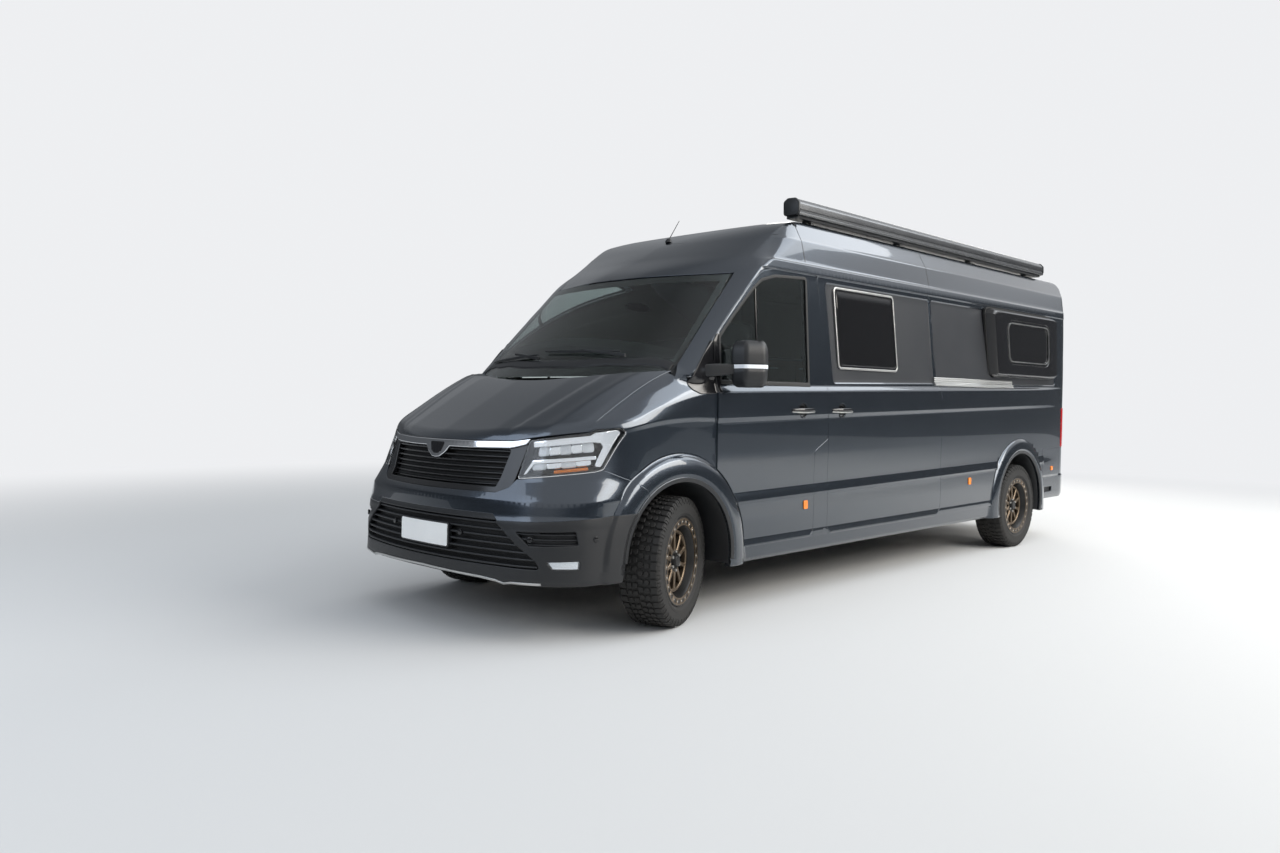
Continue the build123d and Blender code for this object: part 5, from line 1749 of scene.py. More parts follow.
caseFront, caseRear = awning["front"], awning["rear"]
awningParts = [alongX("case", awning["case"], 30, (caseRear + 14, caseFront - 14), awningCase),
    alongX("adapter", [(750, 2475), (836, 2475), (842, 2482), (842, 2503), (750, 2503)], 3,
    (caseRear + 30, caseFront - 30), blackPlastic), alongX("leadRail", awning["rail"], 2,
    (caseRear + 14, caseFront - 14), awningCase)]
for x, out in ((caseFront, 1), (caseRear, -1)):
    awningParts.append(alongX("cap", awning["cap"], 22, (x - 16 * out, x - 5 * out, x - 1.5 * out, x),
        blackPlastic, (0, 0, -2, -5)))
for x in awning["brackets"]:
    awningParts += [bevelBox("foot", (x - 60, 752, 2446), (x + 60, 808, 2462), blackPlastic, 3, 1),
        bevelBox("web", (x - 46, 756, 2458), (x + 46, 770, 2498), blackPlastic, 3, 1),
        bevelBox("shelf", (x - 52, 752, 2486), (x + 52, 836, 2498), blackPlastic, 3, 1)]
    for dx in (-40, 40):
        bolt = lathe("bolt", [(0.01, 0), (7, 0), (7, 5), (5, 7), (0.01, 7)], zincSteel, 6)
        awningParts.append(moved(bolt, at(x + dx, 792, 2462) @ upright))
dress(joined("awningCase", awningParts), "awning")

# Seams in the high roof's sides, and the aerial
seamParts = [skinPiece("seam", bodySkin(-0.6), rect(x - 2.5, x + 2.5, 2166, 2440), 3, 0.3, rubberSeal)
    for x in (1158, -497)]
dressPair(joined("roofSeams", seamParts), None)
aerial = {"x": 1450.0, "length": 181, "lean": -36}
aerialFoot = solve(np.array([[aerial["x"], 0, 2280.0]]), np.array([[0, 0, 1.0]]), bodyField, 0, 300)[0]
aerialBase = lathe("aerialBase", [(0.01, 0), (26, 0), (24, 8), (14, 22), (8, 26), (0.01, 26)], blackPlastic,
    28)
moved(aerialBase, at(*aerialFoot) @ upright)
aerialRod = lathe("aerialRod", [(0.01, 0), (3.2, 0), (2.2, aerial["length"]), (0.01, aerial["length"])],
    blackPlastic, 12)
moved(aerialRod, at(aerialFoot[0], 0, aerialFoot[2] + 16) @ Matrix.Rotation(math.radians(aerial["lean"]), 4,
    "Y") @ upright)
dress(joined("aerial", [aerialBase, aerialRod]), None)
print("stage: mirrors and awning")

# Windscreen: dark printed border, cowl and wipers
innerHalf = [(p[1] - 50, p[2]) for p in screenLine[1:] if 1500 < p[2] < 2000]
innerHalf = [(innerHalf[0][0], 1996)] + innerHalf + [(innerHalf[-1][0], 1500)]
borderHole = rounded(innerHalf + [(-y, z) for y, z in innerHalf[::-1]], 30)
border = skinPiece("screenBorder", shifted(screenField, 8), screenOutline, 2, 0.5, glossBlack, [borderHole],
    screenGrid, screenRays)
def glassAt(y, z):
    return float(glassX(np.array([y]), np.array([z]))[0])


cowlSections = []
for y in np.linspace(-862, 862, 61):
    rear = float(bonnetRear(np.array([y]))[0])
    top = float(bonnetHeight(np.array([rear]), np.array([y]))[0])
    cowlSections.append([(glassAt(y, top + 26) + 2, y, top + 26), (glassAt(y, top + 16) + 12, y, top + 12),
        (rear - 6, y, top - 10), (rear - 4, y, top - 40), (glassAt(y, top - 40) - 20, y, top - 40),
        (glassAt(y, top + 26) - 12, y, top + 20)])
cowl = loft("cowl", cowlSections, blackPlastic, sharp=30)


def onGlass(y, z, out):
    slope = math.hypot(1, body["glassRake"])
    return np.array([glassAt(y, z) + out / slope, y, z + out * body["glassRake"] / slope])


wiperParts = []
for pivotY, tipY, rise in ((560, -120, 30), (-120, -790, -16)):
    foot = np.array([float(pivotY)])
    base = float(bonnetHeight(bonnetRear(foot), foot)[0])
    pivot, tip = onGlass(pivotY, base + 30, 18), onGlass(tipY, base + 30 + rise, 14)
    reach = onGlass((pivotY + tipY) / 2, base + 62, 26)
    for name, points, width, height in (("arm", (pivot, reach), 11, 7),
            ("blade", (onGlass(pivotY - 60, base + 52, 12), tip), 8, 11)):
        sections = []
        for t in (k / 8 for k in range(9)):
            centre = points[0] + (points[1] - points[0]) * t
            if name == "blade":
                centre = onGlass(centre[1], centre[2], 12)
            taper = 1 - 0.45 * t if name == "arm" else 1 - 0.5 * abs(2 * t - 1) ** 3
            h, w = height * taper, width * taper
            sections.append([(centre[0] + a * 0.7, centre[1], centre[2] + b) for a,
                b in rounded(rect(-h, h, -w, w), 3, 3)])
        wiperParts.append(loft(name, sections, blackPlastic, sharp=40))
for piece in (border, cowl, joined("wipers", wiperParts)):
    dress(piece, None)

# Arch liners behind the flares, and a lip round each opening
linerParts = []
for arch, start, end in ((frontArch, -6, 190), (rearArch, -12, 194)):
    sections = []
    for angle in np.linspace(math.radians(start), math.radians(end), 60):
        c, d = math.cos(angle), math.sin(angle)
        sections.append([(arch["x"] + (arch["radius"] + r) * c, y, arch["z"] + (arch["radius"] + r) * d)
                         for r, y in ((-2, 650), (-3, 1006), (1, 1012), (8, 1004), (8, 650))])
    linerParts.append(loft("liner", sections, blackPlastic, sharp=40))
for arch, start, end in ((frontArch, 3, 186), (rearArch, -12, 194)):
    lip = circle(arch["x"], arch["z"], 428, start, end) + circle(arch["x"], arch["z"], 450, start, end)[::-1]
    if arch is frontArch:
        lip = [(walkU(x, 1000) if x <= 2850 else x, z) for x, z in lip]
    linerParts.append(skinPiece("archLip", frontSkin(-1.2), lip, 14, 1.2, blackPlastic, edgeStep=18))
dressPair(joined("archLiners", linerParts), None)
print("stage: screen and liners")

# Tail: lamps, bumper, door furniture
rearEnd = {
    "lampTop": 1233, "lampFoot": 863, "lampFront": -3062, "lampRear": -3346,
    "bumperPlan": [(-2500, 1004), (-3090, 992), (-3310, 905), (-3418, 690), (-3418, 0)],
    "bumperRadii": [0, 200, 200, 60, 0], "foot": 392, "shelf": 600, "head": 858, "cornerY": 815,
    "marker": (-2833, 668), "slot": (-2870, -2690, 446, 500),
}


def rearRays(w, z):
    # w is the distance from the middle along the tail, then round the corner and forward along the side
    w = np.asarray(w, float)
    side, away = np.where(w < 0, -1.0, 1.0), np.abs(w)
    fan = np.clip((away - body["cornerY"]) / body["corner"], 0, math.pi / 2)
    ahead = np.maximum(away - body["cornerY"] - body["corner"] * math.pi / 2, 0)
    origin = np.stack([body["cornerX"] + ahead, np.minimum(away, body["cornerY"]) * side,
        np.asarray(z, float)], 1)
    return origin, np.stack([-np.cos(fan), np.sin(fan) * side, np.zeros(len(w))], 1)


def rearWalk(x, y):
    # the same walk's own place of a point on the left side given in plan
    if x > body["cornerX"]:
        return body["cornerY"] + body["corner"] * math.pi / 2 + x - body["cornerX"]
    if y < body["cornerY"]:
        return y
    return body["cornerY"] + body["corner"] * math.atan2(y - body["cornerY"], body["cornerX"] - x)


planLine = np.array(rounded(rearEnd["bumperPlan"], rearEnd["bumperRadii"]))
planWalk = np.array([rearWalk(x, y) for x, y in planLine])
planOut = np.array([math.hypot(x - body["cornerX"], y - body["cornerY"]) if x < body["cornerX"]
    and y > body["cornerY"] else 0 for x, y in planLine])


def bumperField(x, y, z):
    # the bumper's own plan low down, flush with the body above its shelf
    y = np.abs(y)
    away = np.hypot(np.minimum(x - body["cornerX"], 0), np.maximum(y - body["cornerY"], 0))
    turn = np.arctan2(np.maximum(y - body["cornerY"], 0), np.maximum(body["cornerX"] - x, 1e-6))
    corner = (x < body["cornerX"]) & (y > body["cornerY"])
    bend = planOut > 0
    order = np.argsort(planWalk[bend])
    turns = (planWalk[bend][order] - body["cornerY"]) / body["corner"]
    fanned = away - np.interp(turn, turns, planOut[bend][order])
    sides = planLine[planLine[:, 0] > body["cornerX"]]
    flank = y - np.interp(x, np.sort(sides[:, 0]), sides[np.argsort(sides[:, 0]), 1], left=990, right=1004)
    low = np.where(corner, fanned, np.where(y > body["cornerY"], flank, -3418 - x))
    low = low + 14 * smoothStep((430 - z) / 60)
    share = smoothStep((z - rearEnd["shelf"] + 10) / 14)
    return low * (1 - share) + (bodyField(x, y, z) - 1) * share


sideEnd = rearWalk(-2606, 1000)
corner = rearWalk(-3352, rearEnd["cornerY"])
foot, shelf, head = rearEnd["foot"], rearEnd["shelf"], rearEnd["head"]
bumperHalf = [(0, foot + 12), (400, foot + 8), (900, foot), (sideEnd, foot - 2), (sideEnd, head),
    (corner, head), (corner, shelf + 6), (0, shelf + 6)]
bumperLoop = bumperHalf + [(-w, z) for w, z in bumperHalf[-2:0:-1]]
slotX0, slotX1, slotLow, slotHigh = rearEnd["slot"]
slotLoop = rounded(rect(rearWalk(slotX0, 1000), rearWalk(slotX1, 1000), slotLow, slotHigh), 8)
bumperGrid = [(w, z) for w in np.arange(-1590, 1591, 30) for z in (395, 405, 415, 425, 440, 480, 520, 560,
    588, 592, 597, 602, 612, 650, 700, 750, 800, 840)]
rearBumper = panel("bumperRear", rearRays, bumperField, rounded(bumperLoop, 6),
    [slotLoop, [(-w, z) for w, z in slotLoop]], bumperGrid, depth=24, roll=6,
    materials=[paint, blackPlastic])
dress(rearBumper, "bumper_rear")
slotBack = skinPiece("slotBack", shifted(bumperField, 20), grown(slotLoop, 10), 3, 3.5, blackPlastic,
    rays=rearRays)
stepBase = bevelBox("stepPlate", (-3414, -640, 597), (-3330, 640, 608), blackPlastic, 3, 1)
stepRibs = repeated("stepRibs", bevelBox("rib", (-3404, -628, 608), (-3340, -622, 611), blackPlastic, 1, 1),
    63, blackPlastic, (0, 20, 0))
markerX, z = rearEnd["marker"]
w = rearWalk(markerX, 1000)
rearMarker = skinPiece("rearMarker", shifted(bumperField, -5), rounded(rect(w - 22, w + 22, z - 17, z + 17),
    5), 9, 3, amber, rays=rearRays)
dressPair(rearMarker, None, right="rearMarkerRight")
dressPair(slotBack, None)
for piece in (stepBase, stepRibs):
    dress(piece, None)

lampW0, lampW1 = rearWalk(rearEnd["lampRear"], 812), rearWalk(rearEnd["lampFront"], 990)
lampZ0, lampZ1 = rearEnd["lampFoot"], rearEnd["lampTop"]


def tailPiece(name, low, high, out, material, depth=16, inset=4):
    loop = rounded(rect(lampW0 + inset, lampW1 - inset, low, high), 12)
    return skinPiece(name, bodySkin(-out), loop, depth, 4, material, (),
        flatGrid(lampW0 + 10, lampW1, low + 8, high, 26, 26), rearRays)


tailParts = [tailPiece("lampHousing", lampZ0, lampZ1, -9, blackPlastic, 30, 0),
    tailPiece("lampTop", 1092, lampZ1 - 4, 5, redLens), tailPiece("lampMiddle", 996, 1087, 5, redLens),
    tailPiece("lampLow", lampZ0 + 4, 991, 5, redLens)]
for low, high, material in ((1010, 1036, whiteLens), (1046, 1074, amber)):
    tailParts.append(skinPiece("lampWindow", bodySkin(-6.5), rounded(rect(lampW0 + 18, lampW0 + 150, low,
        high), 8), 6, 1.5, material, rays=rearRays))
dressPair(joined("tailLamp", tailParts), "tail_lamps")


# Rear doors: hinges, handle, blank plate
def tailX(z):
    (z0, x0), (z1, x1) = body["tailX"]
    return float(np.interp(z, [z0, z1], [x0, x1]))


hingeParts = []
for z in (760, 1330, 2130):
    hingeParts.append(bevelBox("strap", (tailX(z) - 12, 690, z - 26), (tailX(z) + 4, 800, z + 26),
        glossBlack, 4, 1))
    pin = rod("pin", 11, -34, 34, blackPlastic, 20)
    hingeParts.append(moved(pin, at(tailX(z) - 10, 800, z) @ upright))
dressPair(joined("rearHinges", hingeParts), None, "rear_door_left")
rearFittings = [bevelBox("handlePlate", (tailX(1100) - 9, 30, 1040), (tailX(1100) + 8, 150, 1180),
    blackPlastic, 4, 2), bevelBox("handlePull", (tailX(1110) - 24, 48, 1092), (tailX(1110) - 8, 134, 1126),
    glossBlack, 5, 2), bevelBox("plateHolder", (tailX(860) - 8, 150, 790), (tailX(860) + 6, 690, 920),
    blackPlastic, 3, 1), bevelBox("plateBlank", (tailX(860) - 11, 160, 800), (tailX(860) - 4, 680, 911),
    plateFace, 2, 1)]
dress(joined("rearFittings", rearFittings), None, "rear_door_left")
print("stage: tail")

# Wheels: all-terrain tyres on deep rims, built about their own axle with the outside at +Y
wheel = {
    "profile": [(352, -106), (354, -60), (355, 0), (354, 60), (352, 106), (345, 112), (332, 117), (331,
        118.6),
        (326, 118.6), (325, 117.8), (306, 119.5), (284, 119), (283, 120.4), (270, 119.6), (269, 118), (256,
        112),
        (250, 104), (236, 100), (236, 92), (262, 100), (310, 106), (338, 96), (342, 0), (338, -96), (310,
        -106),
        (262, -100), (236, -92), (236, -100), (250, -104), (256, -112), (284, -119), (306, -119.5),
        (325, -117.8), (332, -117), (345, -112)],
    "pitches": 50, "height": 365,
    # tread blocks as (along, across) outlines, for the half at +Y; the other half is half a pitch on
    "blocks": [[(-19, 3), (5, 3), (10, 15), (3, 31), (-12, 32), (-20, 20)],
        [(-16, 38), (6, 37), (14, 47), (9, 64), (-9, 66), (-18, 54)],
        [(-19, 73), (12, 71), (17, 84), (15, 109), (-15, 110), (-21, 96)]],
    "spokes": 10, "bolts": 24, "studs": 6,
}


def block(outline, side, shift):
    loop = [(a + shift, b * side) for a, b in outline]
    loop = loop if side > 0 else loop[::-1]

    def ring(points, sink):
        return [(a, b, wheel["height"] - 5.5 * (abs(b) / 110) ** 2.2 - sink) for a, b in points]

    sections = [[(a, b, 344) for a, b in loop], ring(loop, 2.5), ring(grown(loop, -2.2), 0)]
    return loft("block", sections, tyreRubber, sharp=30)


def makeTyre():
    parts = [lathe("carcass", wheel["profile"], tyreRubber, 96, sharp=40)]
    pitch = 2 * math.pi * wheel["height"] / wheel["pitches"]
    pieces = []
    for side, shift in ((1, 0), (-1, pitch / 2)):
        pieces += [block(outline, side, shift) for outline in wheel["blocks"]]
        for near, far, low in ((-17, -2, 322), (2, 15, 333)):
            lug = [(104, 356), (112, 354), (118, 344), (121, 330), (121, low), (114, low - 5)]
            lug = [(b * side, c) for b, c in (lug if side < 0 else lug[::-1])]
            pieces.append(loft("lug", [[(a + shift, b, c) for b, c in lug] for a in (near, far)],
                tyreRubber, sharp=30))
    parts.append(repeated("tread", joined("pitch", pieces), wheel["pitches"], tyreRubber, ring=True))
    return joined("tyre", parts)


def makeRim():
    barrel = [(252, 100), (252, 108), (249, 112), (244, 112), (240, 108), (206, 108), (201, 104), (196, 92),
        (182, 66), (176, 40), (176, -60), (214, -98), (236, -104), (240, -106), (250, -106), (250, -98),
        (232, -96), (222, -80), (190, -50), (190, 30), (204, 70), (226, 92), (240, 98)]
    parts = [lathe("barrel", barrel, rimDark, 96, sharp=30), lathe("ringEdge",
        [(243, 106), (243, 110.5), (235, 110.5), (235, 106)], rimPaint, 96, sharp=25),
        lathe("ringLip", [(211, 104), (211, 110.5), (203, 110.5), (203, 104)], rimPaint, 96, sharp=25),
        lathe("spokeRing", [(174, 44), (174, 66), (171, 70), (160, 70), (156, 66), (156, 44)], rimPaint, 96,
        sharp=25), lathe("hub", [(0.01, 40), (66, 40), (66, 60), (62, 66), (46, 68), (42, 62), (38, 62),
        (34, 84), (30, 88), (0.01, 88)], rimDark, 48, sharp=25)]
    spoke = loft("spoke", [[(-w0, y0, r), (w0, y0, r), (w0, y1 - 4, r), (w0 - 4, y1, r), (-w0 + 4, y1, r),
        (-w0, y1 - 4, r)] for r, w0, y0, y1 in ((56, 17, 42, 68), (70, 13, 42, 70), (110, 11, 42, 69),
        (146, 13, 44, 68), (162, 17, 46, 67))], rimPaint, sharp=30)
    parts.append(repeated("spokes", spoke, wheel["spokes"], rimPaint, ring=True))
    tab = bevelBox("tab", (-14, 104, 208), (14, 110.2, 238), rimPaint, 2, 1)
    bolt = lathe("bolt", [(0.01, 108), (5.5, 108), (5.5, 111), (4, 112), (0.01, 112)], zincSteel, 8)
    stud = lathe("stud", [(0.01, 60), (10, 60), (10, 76), (7, 80), (0.01, 80)], zincSteel, 6)
    rings = (("tabs", tab, "bolts", rimPaint), ("ringBolts", moved(bolt, at(0, 0, 223)), "bolts",
        zincSteel), ("studs", moved(stud, at(0, 0, 52)), "studs", zincSteel))
    parts += [repeated(name, piece, wheel[count], material, ring=True) for name, piece, count,
        material in rings]
    parts.append(moved(rod("valve", 3.5, 90, 106, rubberSeal, 10), at(140, 0, 140)))
    return joined("rim", parts)


masters = {"tyre": makeTyre(), "rim": makeRim()}
kingpin, offset = 870, 15
for name, x, side, turn in (("front_left", frontArch["x"], 1, 20), ("front_right", frontArch["x"], -1, 18),
        ("rear_left", rearArch["x"], 1, 0), ("rear_right", rearArch["x"], -1, 0)):
    place = at(x, side * kingpin, wheel["height"]) @ Matrix.Rotation(math.radians(turn), 4, "Z") @ at(0,
        side * offset, 0)
    for kind, master in masters.items():
        copy = mirroredCopy(master, kind + "".join(word.capitalize() for word in name.split("_")))
        if side > 0:
            copy.data.transform(Matrix.Scale(-1, 4, (0, 1, 0)))
            copy.data.flip_normals()
        dress(moved(copy, place), f"{kind}_{name}", "wheel_" + name)
for master in masters.values():
    bpy.data.objects.remove(master)
print("stage: wheels")

# Padded pieces: sculpted, crowned forms with pulled-in seams
def cushion(name, low, high, material, crown=18, pull=6, seams=(), cuts=(10, 10, 4)):
    # a box drawn into a cushion: its faces crowned, its corners and long edges eased, seams pressed in
    low, high = np.array(low, float), np.array(high, float)
    size, centre = high - low, (low + high) / 2
    work = bmesh.new()
    bmesh.ops.create_cube(work, size=2)
    for axis, count in enumerate(cuts):
        edges = [e for e in work.edges if abs((e.verts[0].co - e.verts[1].co)[axis]) > 1e-6
            and sum(abs((e.verts[0].co - e.verts[1].co)[k]) < 1e-6 for k in range(3)) == 2]
        bmesh.ops.subdivide_edges(work, edges=edges, cuts=count, use_grid_fill=True)
    for vertex in work.verts:
        c = np.array(vertex.co)
        ease = [math.sqrt(max(0, 1 - 0.28 * (c[(k + 1) % 3] ** 8 + c[(k + 2) % 3] ** 8) / 2))
            for k in range(3)]
        p = c * size / 2 * ease
        for k in range(3):
            a, b = c[(k + 1) % 3], c[(k + 2) % 3]
            p[k] -= np.sign(c[k]) * abs(c[k]) ** 3 * crown * (1 - (1 - a * a) * (1 - b * b)) * min(1,
                size[k] / 200)
        for axis, place, width in seams:
            away = abs(c[axis] - place) * size[axis] / 2
            for k in range(3):
                if k != axis and abs(c[k]) > 0.99:
                    p[k] -= np.sign(c[k]) * pull * math.exp(-(away / width) ** 2)
        vertex.co = (p + centre) * mm
    made = meshObject(name, [], [], [material])
    work.to_mesh(made.data)
    work.free()
    for polygon in made.data.polygons:
        polygon.use_smooth = True
    smooth = made.modifiers.new("smooth", "SUBSURF")
    smooth.levels = smooth.render_levels = 1
    return asObject(name, evaluatedMesh(made))


def tilted(made, pivot, degrees):
    there = at(*pivot)
    return moved(made, there @ Matrix.Rotation(math.radians(degrees), 4, "Y") @ there.inverted())


seat = {
    "y": 440,
    # x from and to, half width, z from and to, crown, pull, seams, cuts, and the tilt about a point (x, z)
    "seatBase": (1262, 1752, 246, 948, 1058, 16, 7, ((1, 0.62, 14), (1, -0.62, 14), (0, 0.25, 12)), (10,
        10, 4), None),
    "seatBack": (1232, 1338, 240, 1066, 1590, 16, 7, ((1, 0.6, 14), (1, -0.6, 14), (2, 0.1, 12)), (4, 10, 12),
        (1250, 1060, -5)),
    "headrest": (1196, 1284, 132, 1604, 1768, 12, 4, (), (4, 8, 8), (1240, 1600, -2)),
}
for side, label in ((1, "Left"), (-1, "Right")):
    y = side * seat["y"]
    for name in ("seatBase", "seatBack", "headrest"):
        x0, x1, half, z0, z1, crown, pull, seams, cuts, tilt = seat[name]
        piece = cushion(name + label, (x0, y - half, z0), (x1, y + half, z1), seatCloth, crown, pull, seams,
            cuts)
        if tilt:
            tilted(piece, (tilt[0], y, tilt[1]), tilt[2])
        dress(piece, "seat_cushions")
    posts = [moved(rod("post", 6, -40, 40, satinMetal, 14), at(1228, y + dy, 1592) @ upright)
        for dy in (-48, 48)]
    dress(joined("headrestPosts" + label, posts), None)
bedPad = cushion("mattressPad", (-3268, -778, 1214), (-1662, 778, 1328), mattressCloth, 14, 6,
    ((0, 0.0, 14), (0, 0.5, 14), (0, -0.5, 14), (1, 0.0, 14), (1, 0.5, 14), (1, -0.5, 14)), (24, 22, 3))
dress(bedPad, "mattress")
print("stage: padded pieces")

# Kitchen unit: fronts, worktop, sink and hob
kitchenParts = []
for k, (x0, x1) in enumerate(((-1496, -1090), (-1082, -676), (-668, -254))):
    for z0, z1 in ((700, 1090), (1098, 1290), (1298, 1500)) if k == 1 else ((700, 1500),):
        kitchenParts.append(bevelBox("front", (x0, -428, z0), (x1, -414, z1), laminate, 3, 1))
        kitchenParts.append(bevelBox("pull", (x1 - 150, -415, z1 - 34), (x1 - 40, -408, z1 - 22),
            satinMetal, 2, 1))
kitchenParts += [bevelBox("worktop", (-1506, -904, 1540), (-244, -408, 1556), lining, 4, 2),
    bevelBox("sink", (-1420, -800, 1553), (-1060, -500, 1560), satinMetal, 3, 1),
    bevelBox("hob", (-760, -800, 1553), (-380, -500, 1560), glossBlack, 3, 1)]
for x in (-660, -480):
    ring = lathe("burner", [(26, 0), (44, 0), (44, 8), (26, 8)], castIron, 32)
    kitchenParts.append(moved(ring, at(x, -650, 1559) @ upright))
dress(joined("kitchenFronts", kitchenParts), None)

# Cab: dashboard pods, screen and vents, and the steering wheel
dashParts = [bevelBox("cluster", (2040, -590, 1290), (2150, -270, 1384), dashPlastic, 12, 3),
    bevelBox("centreScreen", (2016, -118, 1210), (2040, 118, 1340), glossBlack, 5, 2),
    bevelBox("shelf", (2060, -840, 1372), (2300, 840, 1396), dashPlastic, 8, 2)]
for y in (-780, -190, 190, 780):
    vent = bevelBox("vent", (2008, y - 52, 1262), (2034, y + 52, 1322), glossBlack, 4, 1)
    louvre = bevelBox("louvre", (2003, y - 46, 1270), (2010, y + 46, 1274), blackPlastic, 1, 1)
    dashParts += [vent, repeated("louvres", louvre, 5, blackPlastic, (0, 0, 10))]
dress(joined("dashFittings", dashParts), None)
steer = {"centre": (1940, -430, 1190), "normal": (-0.82, 0, 0.57), "radius": 190}
wheelRim = [(steer["radius"] + 15 * math.cos(a), 15 * math.sin(a)) for a in np.linspace(0, 2 * math.pi,
    17)[:-1]]
steerParts = [lathe("gripRing", wheelRim, dashPlastic, 64, sharp=60),
    lathe("boss", [(0.01, -18), (54, -18), (60, -6), (56, 12), (40, 20), (0.01, 22)], dashPlastic, 40)]
for low, high in (((-184, -8, -16), (-40, 8, 18)), ((40, -8, -16), (184, 8, 18)),
        ((-17, -8, -184), (17, 8, -40))):
    steerParts.append(bevelBox("spoke", low, high, dashPlastic, 5, 2))
steerParts.append(lathe("column", [(0.01, -150), (30, -150), (36, -18), (0.01, -18)], dashPlastic, 28))
along, sideways = Vector(steer["normal"]).normalized(), Vector((0, -1, 0))
basis = Matrix((sideways, along, sideways.cross(along))).transposed().to_4x4()
dress(moved(joined("steeringWheel", steerParts), at(*steer["centre"]) @ basis), "steering_wheel")

# Finishes for the CAD nodes that stay
kept = {underMetal: ["floor", "chassis_frame", "wheel_housings_front", "wheel_housings_rear", "front_frame",
    "front_subframe", "rear_axle", "fuel_tank"], castIron: ["engine", "knuckle_left", "knuckle_right"],
    zincSteel: ["exhaust"], dashPlastic: ["dashboard", "seat_pedestals"], laminate: ["furniture"]}
for material, names in kept.items():
    for name in names:
        node = frame["nodes"][name]
        node.data.materials.clear()
        node.data.materials.append(material)
print("stage: interior and underside")

# Camera where the photograph was taken from
view = {"place": (6.387, 4.564, 1.271), "yaw": -135.69, "pitch": -1.64, "roll": 0.73, "lens": 27.11}
yaw, pitch, roll = (math.radians(view[k]) for k in ("yaw", "pitch", "roll"))
ahead = Vector((math.cos(pitch) * math.cos(yaw), math.cos(pitch) * math.sin(yaw), math.sin(pitch)))
level = Vector((math.sin(yaw), -math.cos(yaw), 0))
upward = level.cross(ahead)
right = level * math.cos(roll) + upward * math.sin(roll)
up = upward * math.cos(roll) - level * math.sin(roll)
cameraData = bpy.data.cameras.new("photoCamera")
cameraData.lens = view["lens"]
cameraData.sensor_width = 36
cameraData.clip_end = 200
camera = bpy.data.objects.new("photoCamera", cameraData)
camera.matrix_world = Matrix(((right.x, up.x, -ahead.x, view["place"][0]),
    (right.y, up.y, -ahead.y, view["place"][1]), (right.z, up.z, -ahead.z, view["place"][2]), (0, 0, 0, 1)))
bpy.context.scene.collection.objects.link(camera)
bpy.context.scene.camera = camera
bpy.context.scene.view_settings.view_transform = "Standard"


# Pale floor, pale surroundings and soft lamps
def backdropColour(tree, kind):
    # the pale backdrop, as seen and as the world behind it shows
    shown = placed(tree, kind, Strength=0.92)
    shown.inputs["Color"].default_value = (0.93, 0.94, 0.96, 1)
    return shown


def backdropShare(tree, mirrored):
    # camera and transmission rays see the backdrop, and glossy rays as far as it is mirrored
    path = tree.nodes.new("ShaderNodeLightPath")
    share = path.outputs["Is Camera Ray"]
    glossy = placed(tree, "ShaderNodeMath", [(0, path.outputs["Is Glossy Ray"]), (1, mirrored)],
        operation="MULTIPLY")
    for more in (path.outputs["Is Transmission Ray"], glossy.outputs[0]):
        share = placed(tree, "ShaderNodeMath", [(0, share), (1, more)], operation="ADD",
            use_clamp=True).outputs[0]
    return share


def mixedWith(tree, share, shader, shown, end):
    # the backdrop takes the shader's place as far as share says
    mix = tree.nodes.new("ShaderNodeMixShader")
    for socket, source in ((mix.inputs["Fac"], share), (mix.inputs[1], shader.outputs[0]),
            (mix.inputs[2], shown.outputs[0]), (end.inputs["Surface"], mix.outputs[0])):
        tree.links.new(source, socket)


studio = {"sky": (0.90, 0.96, 1.04), "wallTop": 0.16, "openFrom": 0.33, "wallLight": 0.10}
floorPale = bpy.data.materials.new("paleFloor")
floorPale.use_nodes = True
floorTree = floorPale.node_tree
floorShader = floorTree.nodes["Principled BSDF"]
floorShader.inputs["Base Color"].default_value = (0.66, 0.655, 0.64, 1)
floorShader.inputs["Roughness"].default_value = 0.9
floorPlace = placed(floorTree, "ShaderNodeTexCoord")
flatPlace = placed(floorTree, "ShaderNodeVectorMath", [(0, floorPlace.outputs["Object"])], operation="LENGTH")
farAway = placed(floorTree, "ShaderNodeMapRange", [("Value", flatPlace.outputs["Value"])],
    **{"From Min": 5.5, "From Max": 13.0})
farAway.interpolation_type = "SMOOTHSTEP"
nowhere = placed(floorTree, "ShaderNodeValue")
nowhere.outputs[0].default_value = 0.0
farSeen = placed(floorTree, "ShaderNodeMath", [(0, farAway.outputs["Result"]),
    (1, backdropShare(floorTree, nowhere.outputs[0]))], operation="MULTIPLY")
mixedWith(floorTree, farSeen.outputs[0], floorShader, backdropColour(floorTree, "ShaderNodeEmission"),
    floorTree.nodes["Material Output"])
floorSheet = meshObject("paleFloor", [(-30000, -30000, 0), (30000, -30000, 0), (30000, 30000, 0),
    (-30000, 30000, 0)], [[0, 1, 2, 3]], [floorPale])
floorSheet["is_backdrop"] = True
world = bpy.data.worlds.new("studio")
world.use_nodes = True
bpy.context.scene.world = world
tree = world.node_tree
background = tree.nodes["Background"]
skyPlace = placed(tree, "ShaderNodeTexCoord")
skySplit = placed(tree, "ShaderNodeSeparateXYZ", [("Vector", skyPlace.outputs["Generated"])])
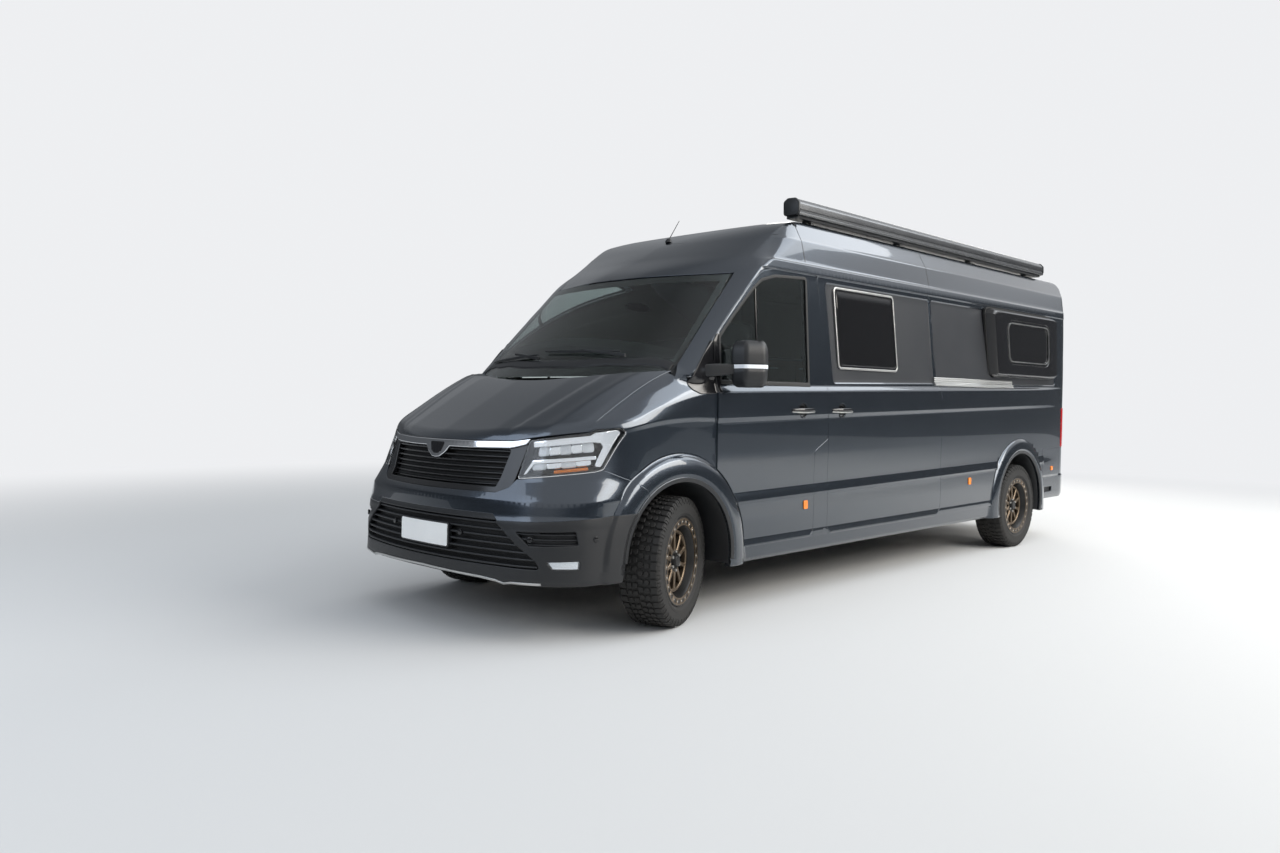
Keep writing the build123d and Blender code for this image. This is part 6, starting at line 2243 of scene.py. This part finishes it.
# open sky is pale; low down and on the far side stand dark walls, which paint and glass mirror
height = placed(tree, "ShaderNodeMapRange", [("Value", skySplit.outputs["Z"])],
    interpolation_type="SMOOTHSTEP", **{"From Min": studio["wallTop"], "From Max": studio["openFrom"]})
farSide = placed(tree, "ShaderNodeMapRange", [("Value", skySplit.outputs["Y"])],
    **{"From Min": -0.45, "From Max": 0.02, "To Min": 0.12, "To Max": 1.0})
openSky = placed(tree, "ShaderNodeMath", [(0, height.outputs[0]), (1, farSide.outputs[0])],
    operation="MULTIPLY")
strength = placed(tree, "ShaderNodeMapRange", [("Value", openSky.outputs[0])],
    **{"To Min": studio["wallLight"], "To Max": 1.0})
tree.links.new(strength.outputs[0], background.inputs["Strength"])
background.inputs["Color"].default_value = rgba(studio["sky"])
mixedWith(tree, backdropShare(tree, openSky.outputs[0]), background,
    backdropColour(tree, "ShaderNodeBackground"), tree.nodes["World Output"])

lampPlan = {
    "keyLamp": {"place": (-3.0, 9.5, 5.5), "aim": (-0.5, 1.0, 1.2), "size": (9, 4), "power": 800,
    "colour": (1.0, 0.95, 0.88)},
    "frontLamp": {"place": (9.5, -1.5, 4.5), "aim": (3.0, 0.0, 1.0), "size": (5, 4), "power": 130,
    "colour": (0.75, 0.85, 1.0)},
    "topLamp": {"place": (-5.5, 6.5, 9.0), "aim": (-0.5, 0.8, 2.2), "size": (12, 6), "power": 650,
    "colour": (0.92, 0.96, 1.0)},
    "backLamp": {"place": (-9.0, -4.0, 4.0), "aim": (-2.0, 0.0, 1.2), "size": (5, 4), "power": 300,
    "colour": (1.0, 0.97, 0.92)},
}
for name, plan in lampPlan.items():
    data = bpy.data.lights.new(name, "AREA")
    data.shape = "RECTANGLE"
    data.size, data.size_y = plan["size"]
    data.energy, data.color = plan["power"], plan["colour"]
    lampObject = bpy.data.objects.new(name, data)
    toward = Vector(plan["aim"]) - Vector(plan["place"])
    lampObject.matrix_world = Matrix.Translation(plan["place"]) @ toward.to_track_quat("-Z",
        "Y").to_matrix().to_4x4()
    bpy.context.scene.collection.objects.link(lampObject)
print("stage: camera and lamps")

lowest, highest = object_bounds()
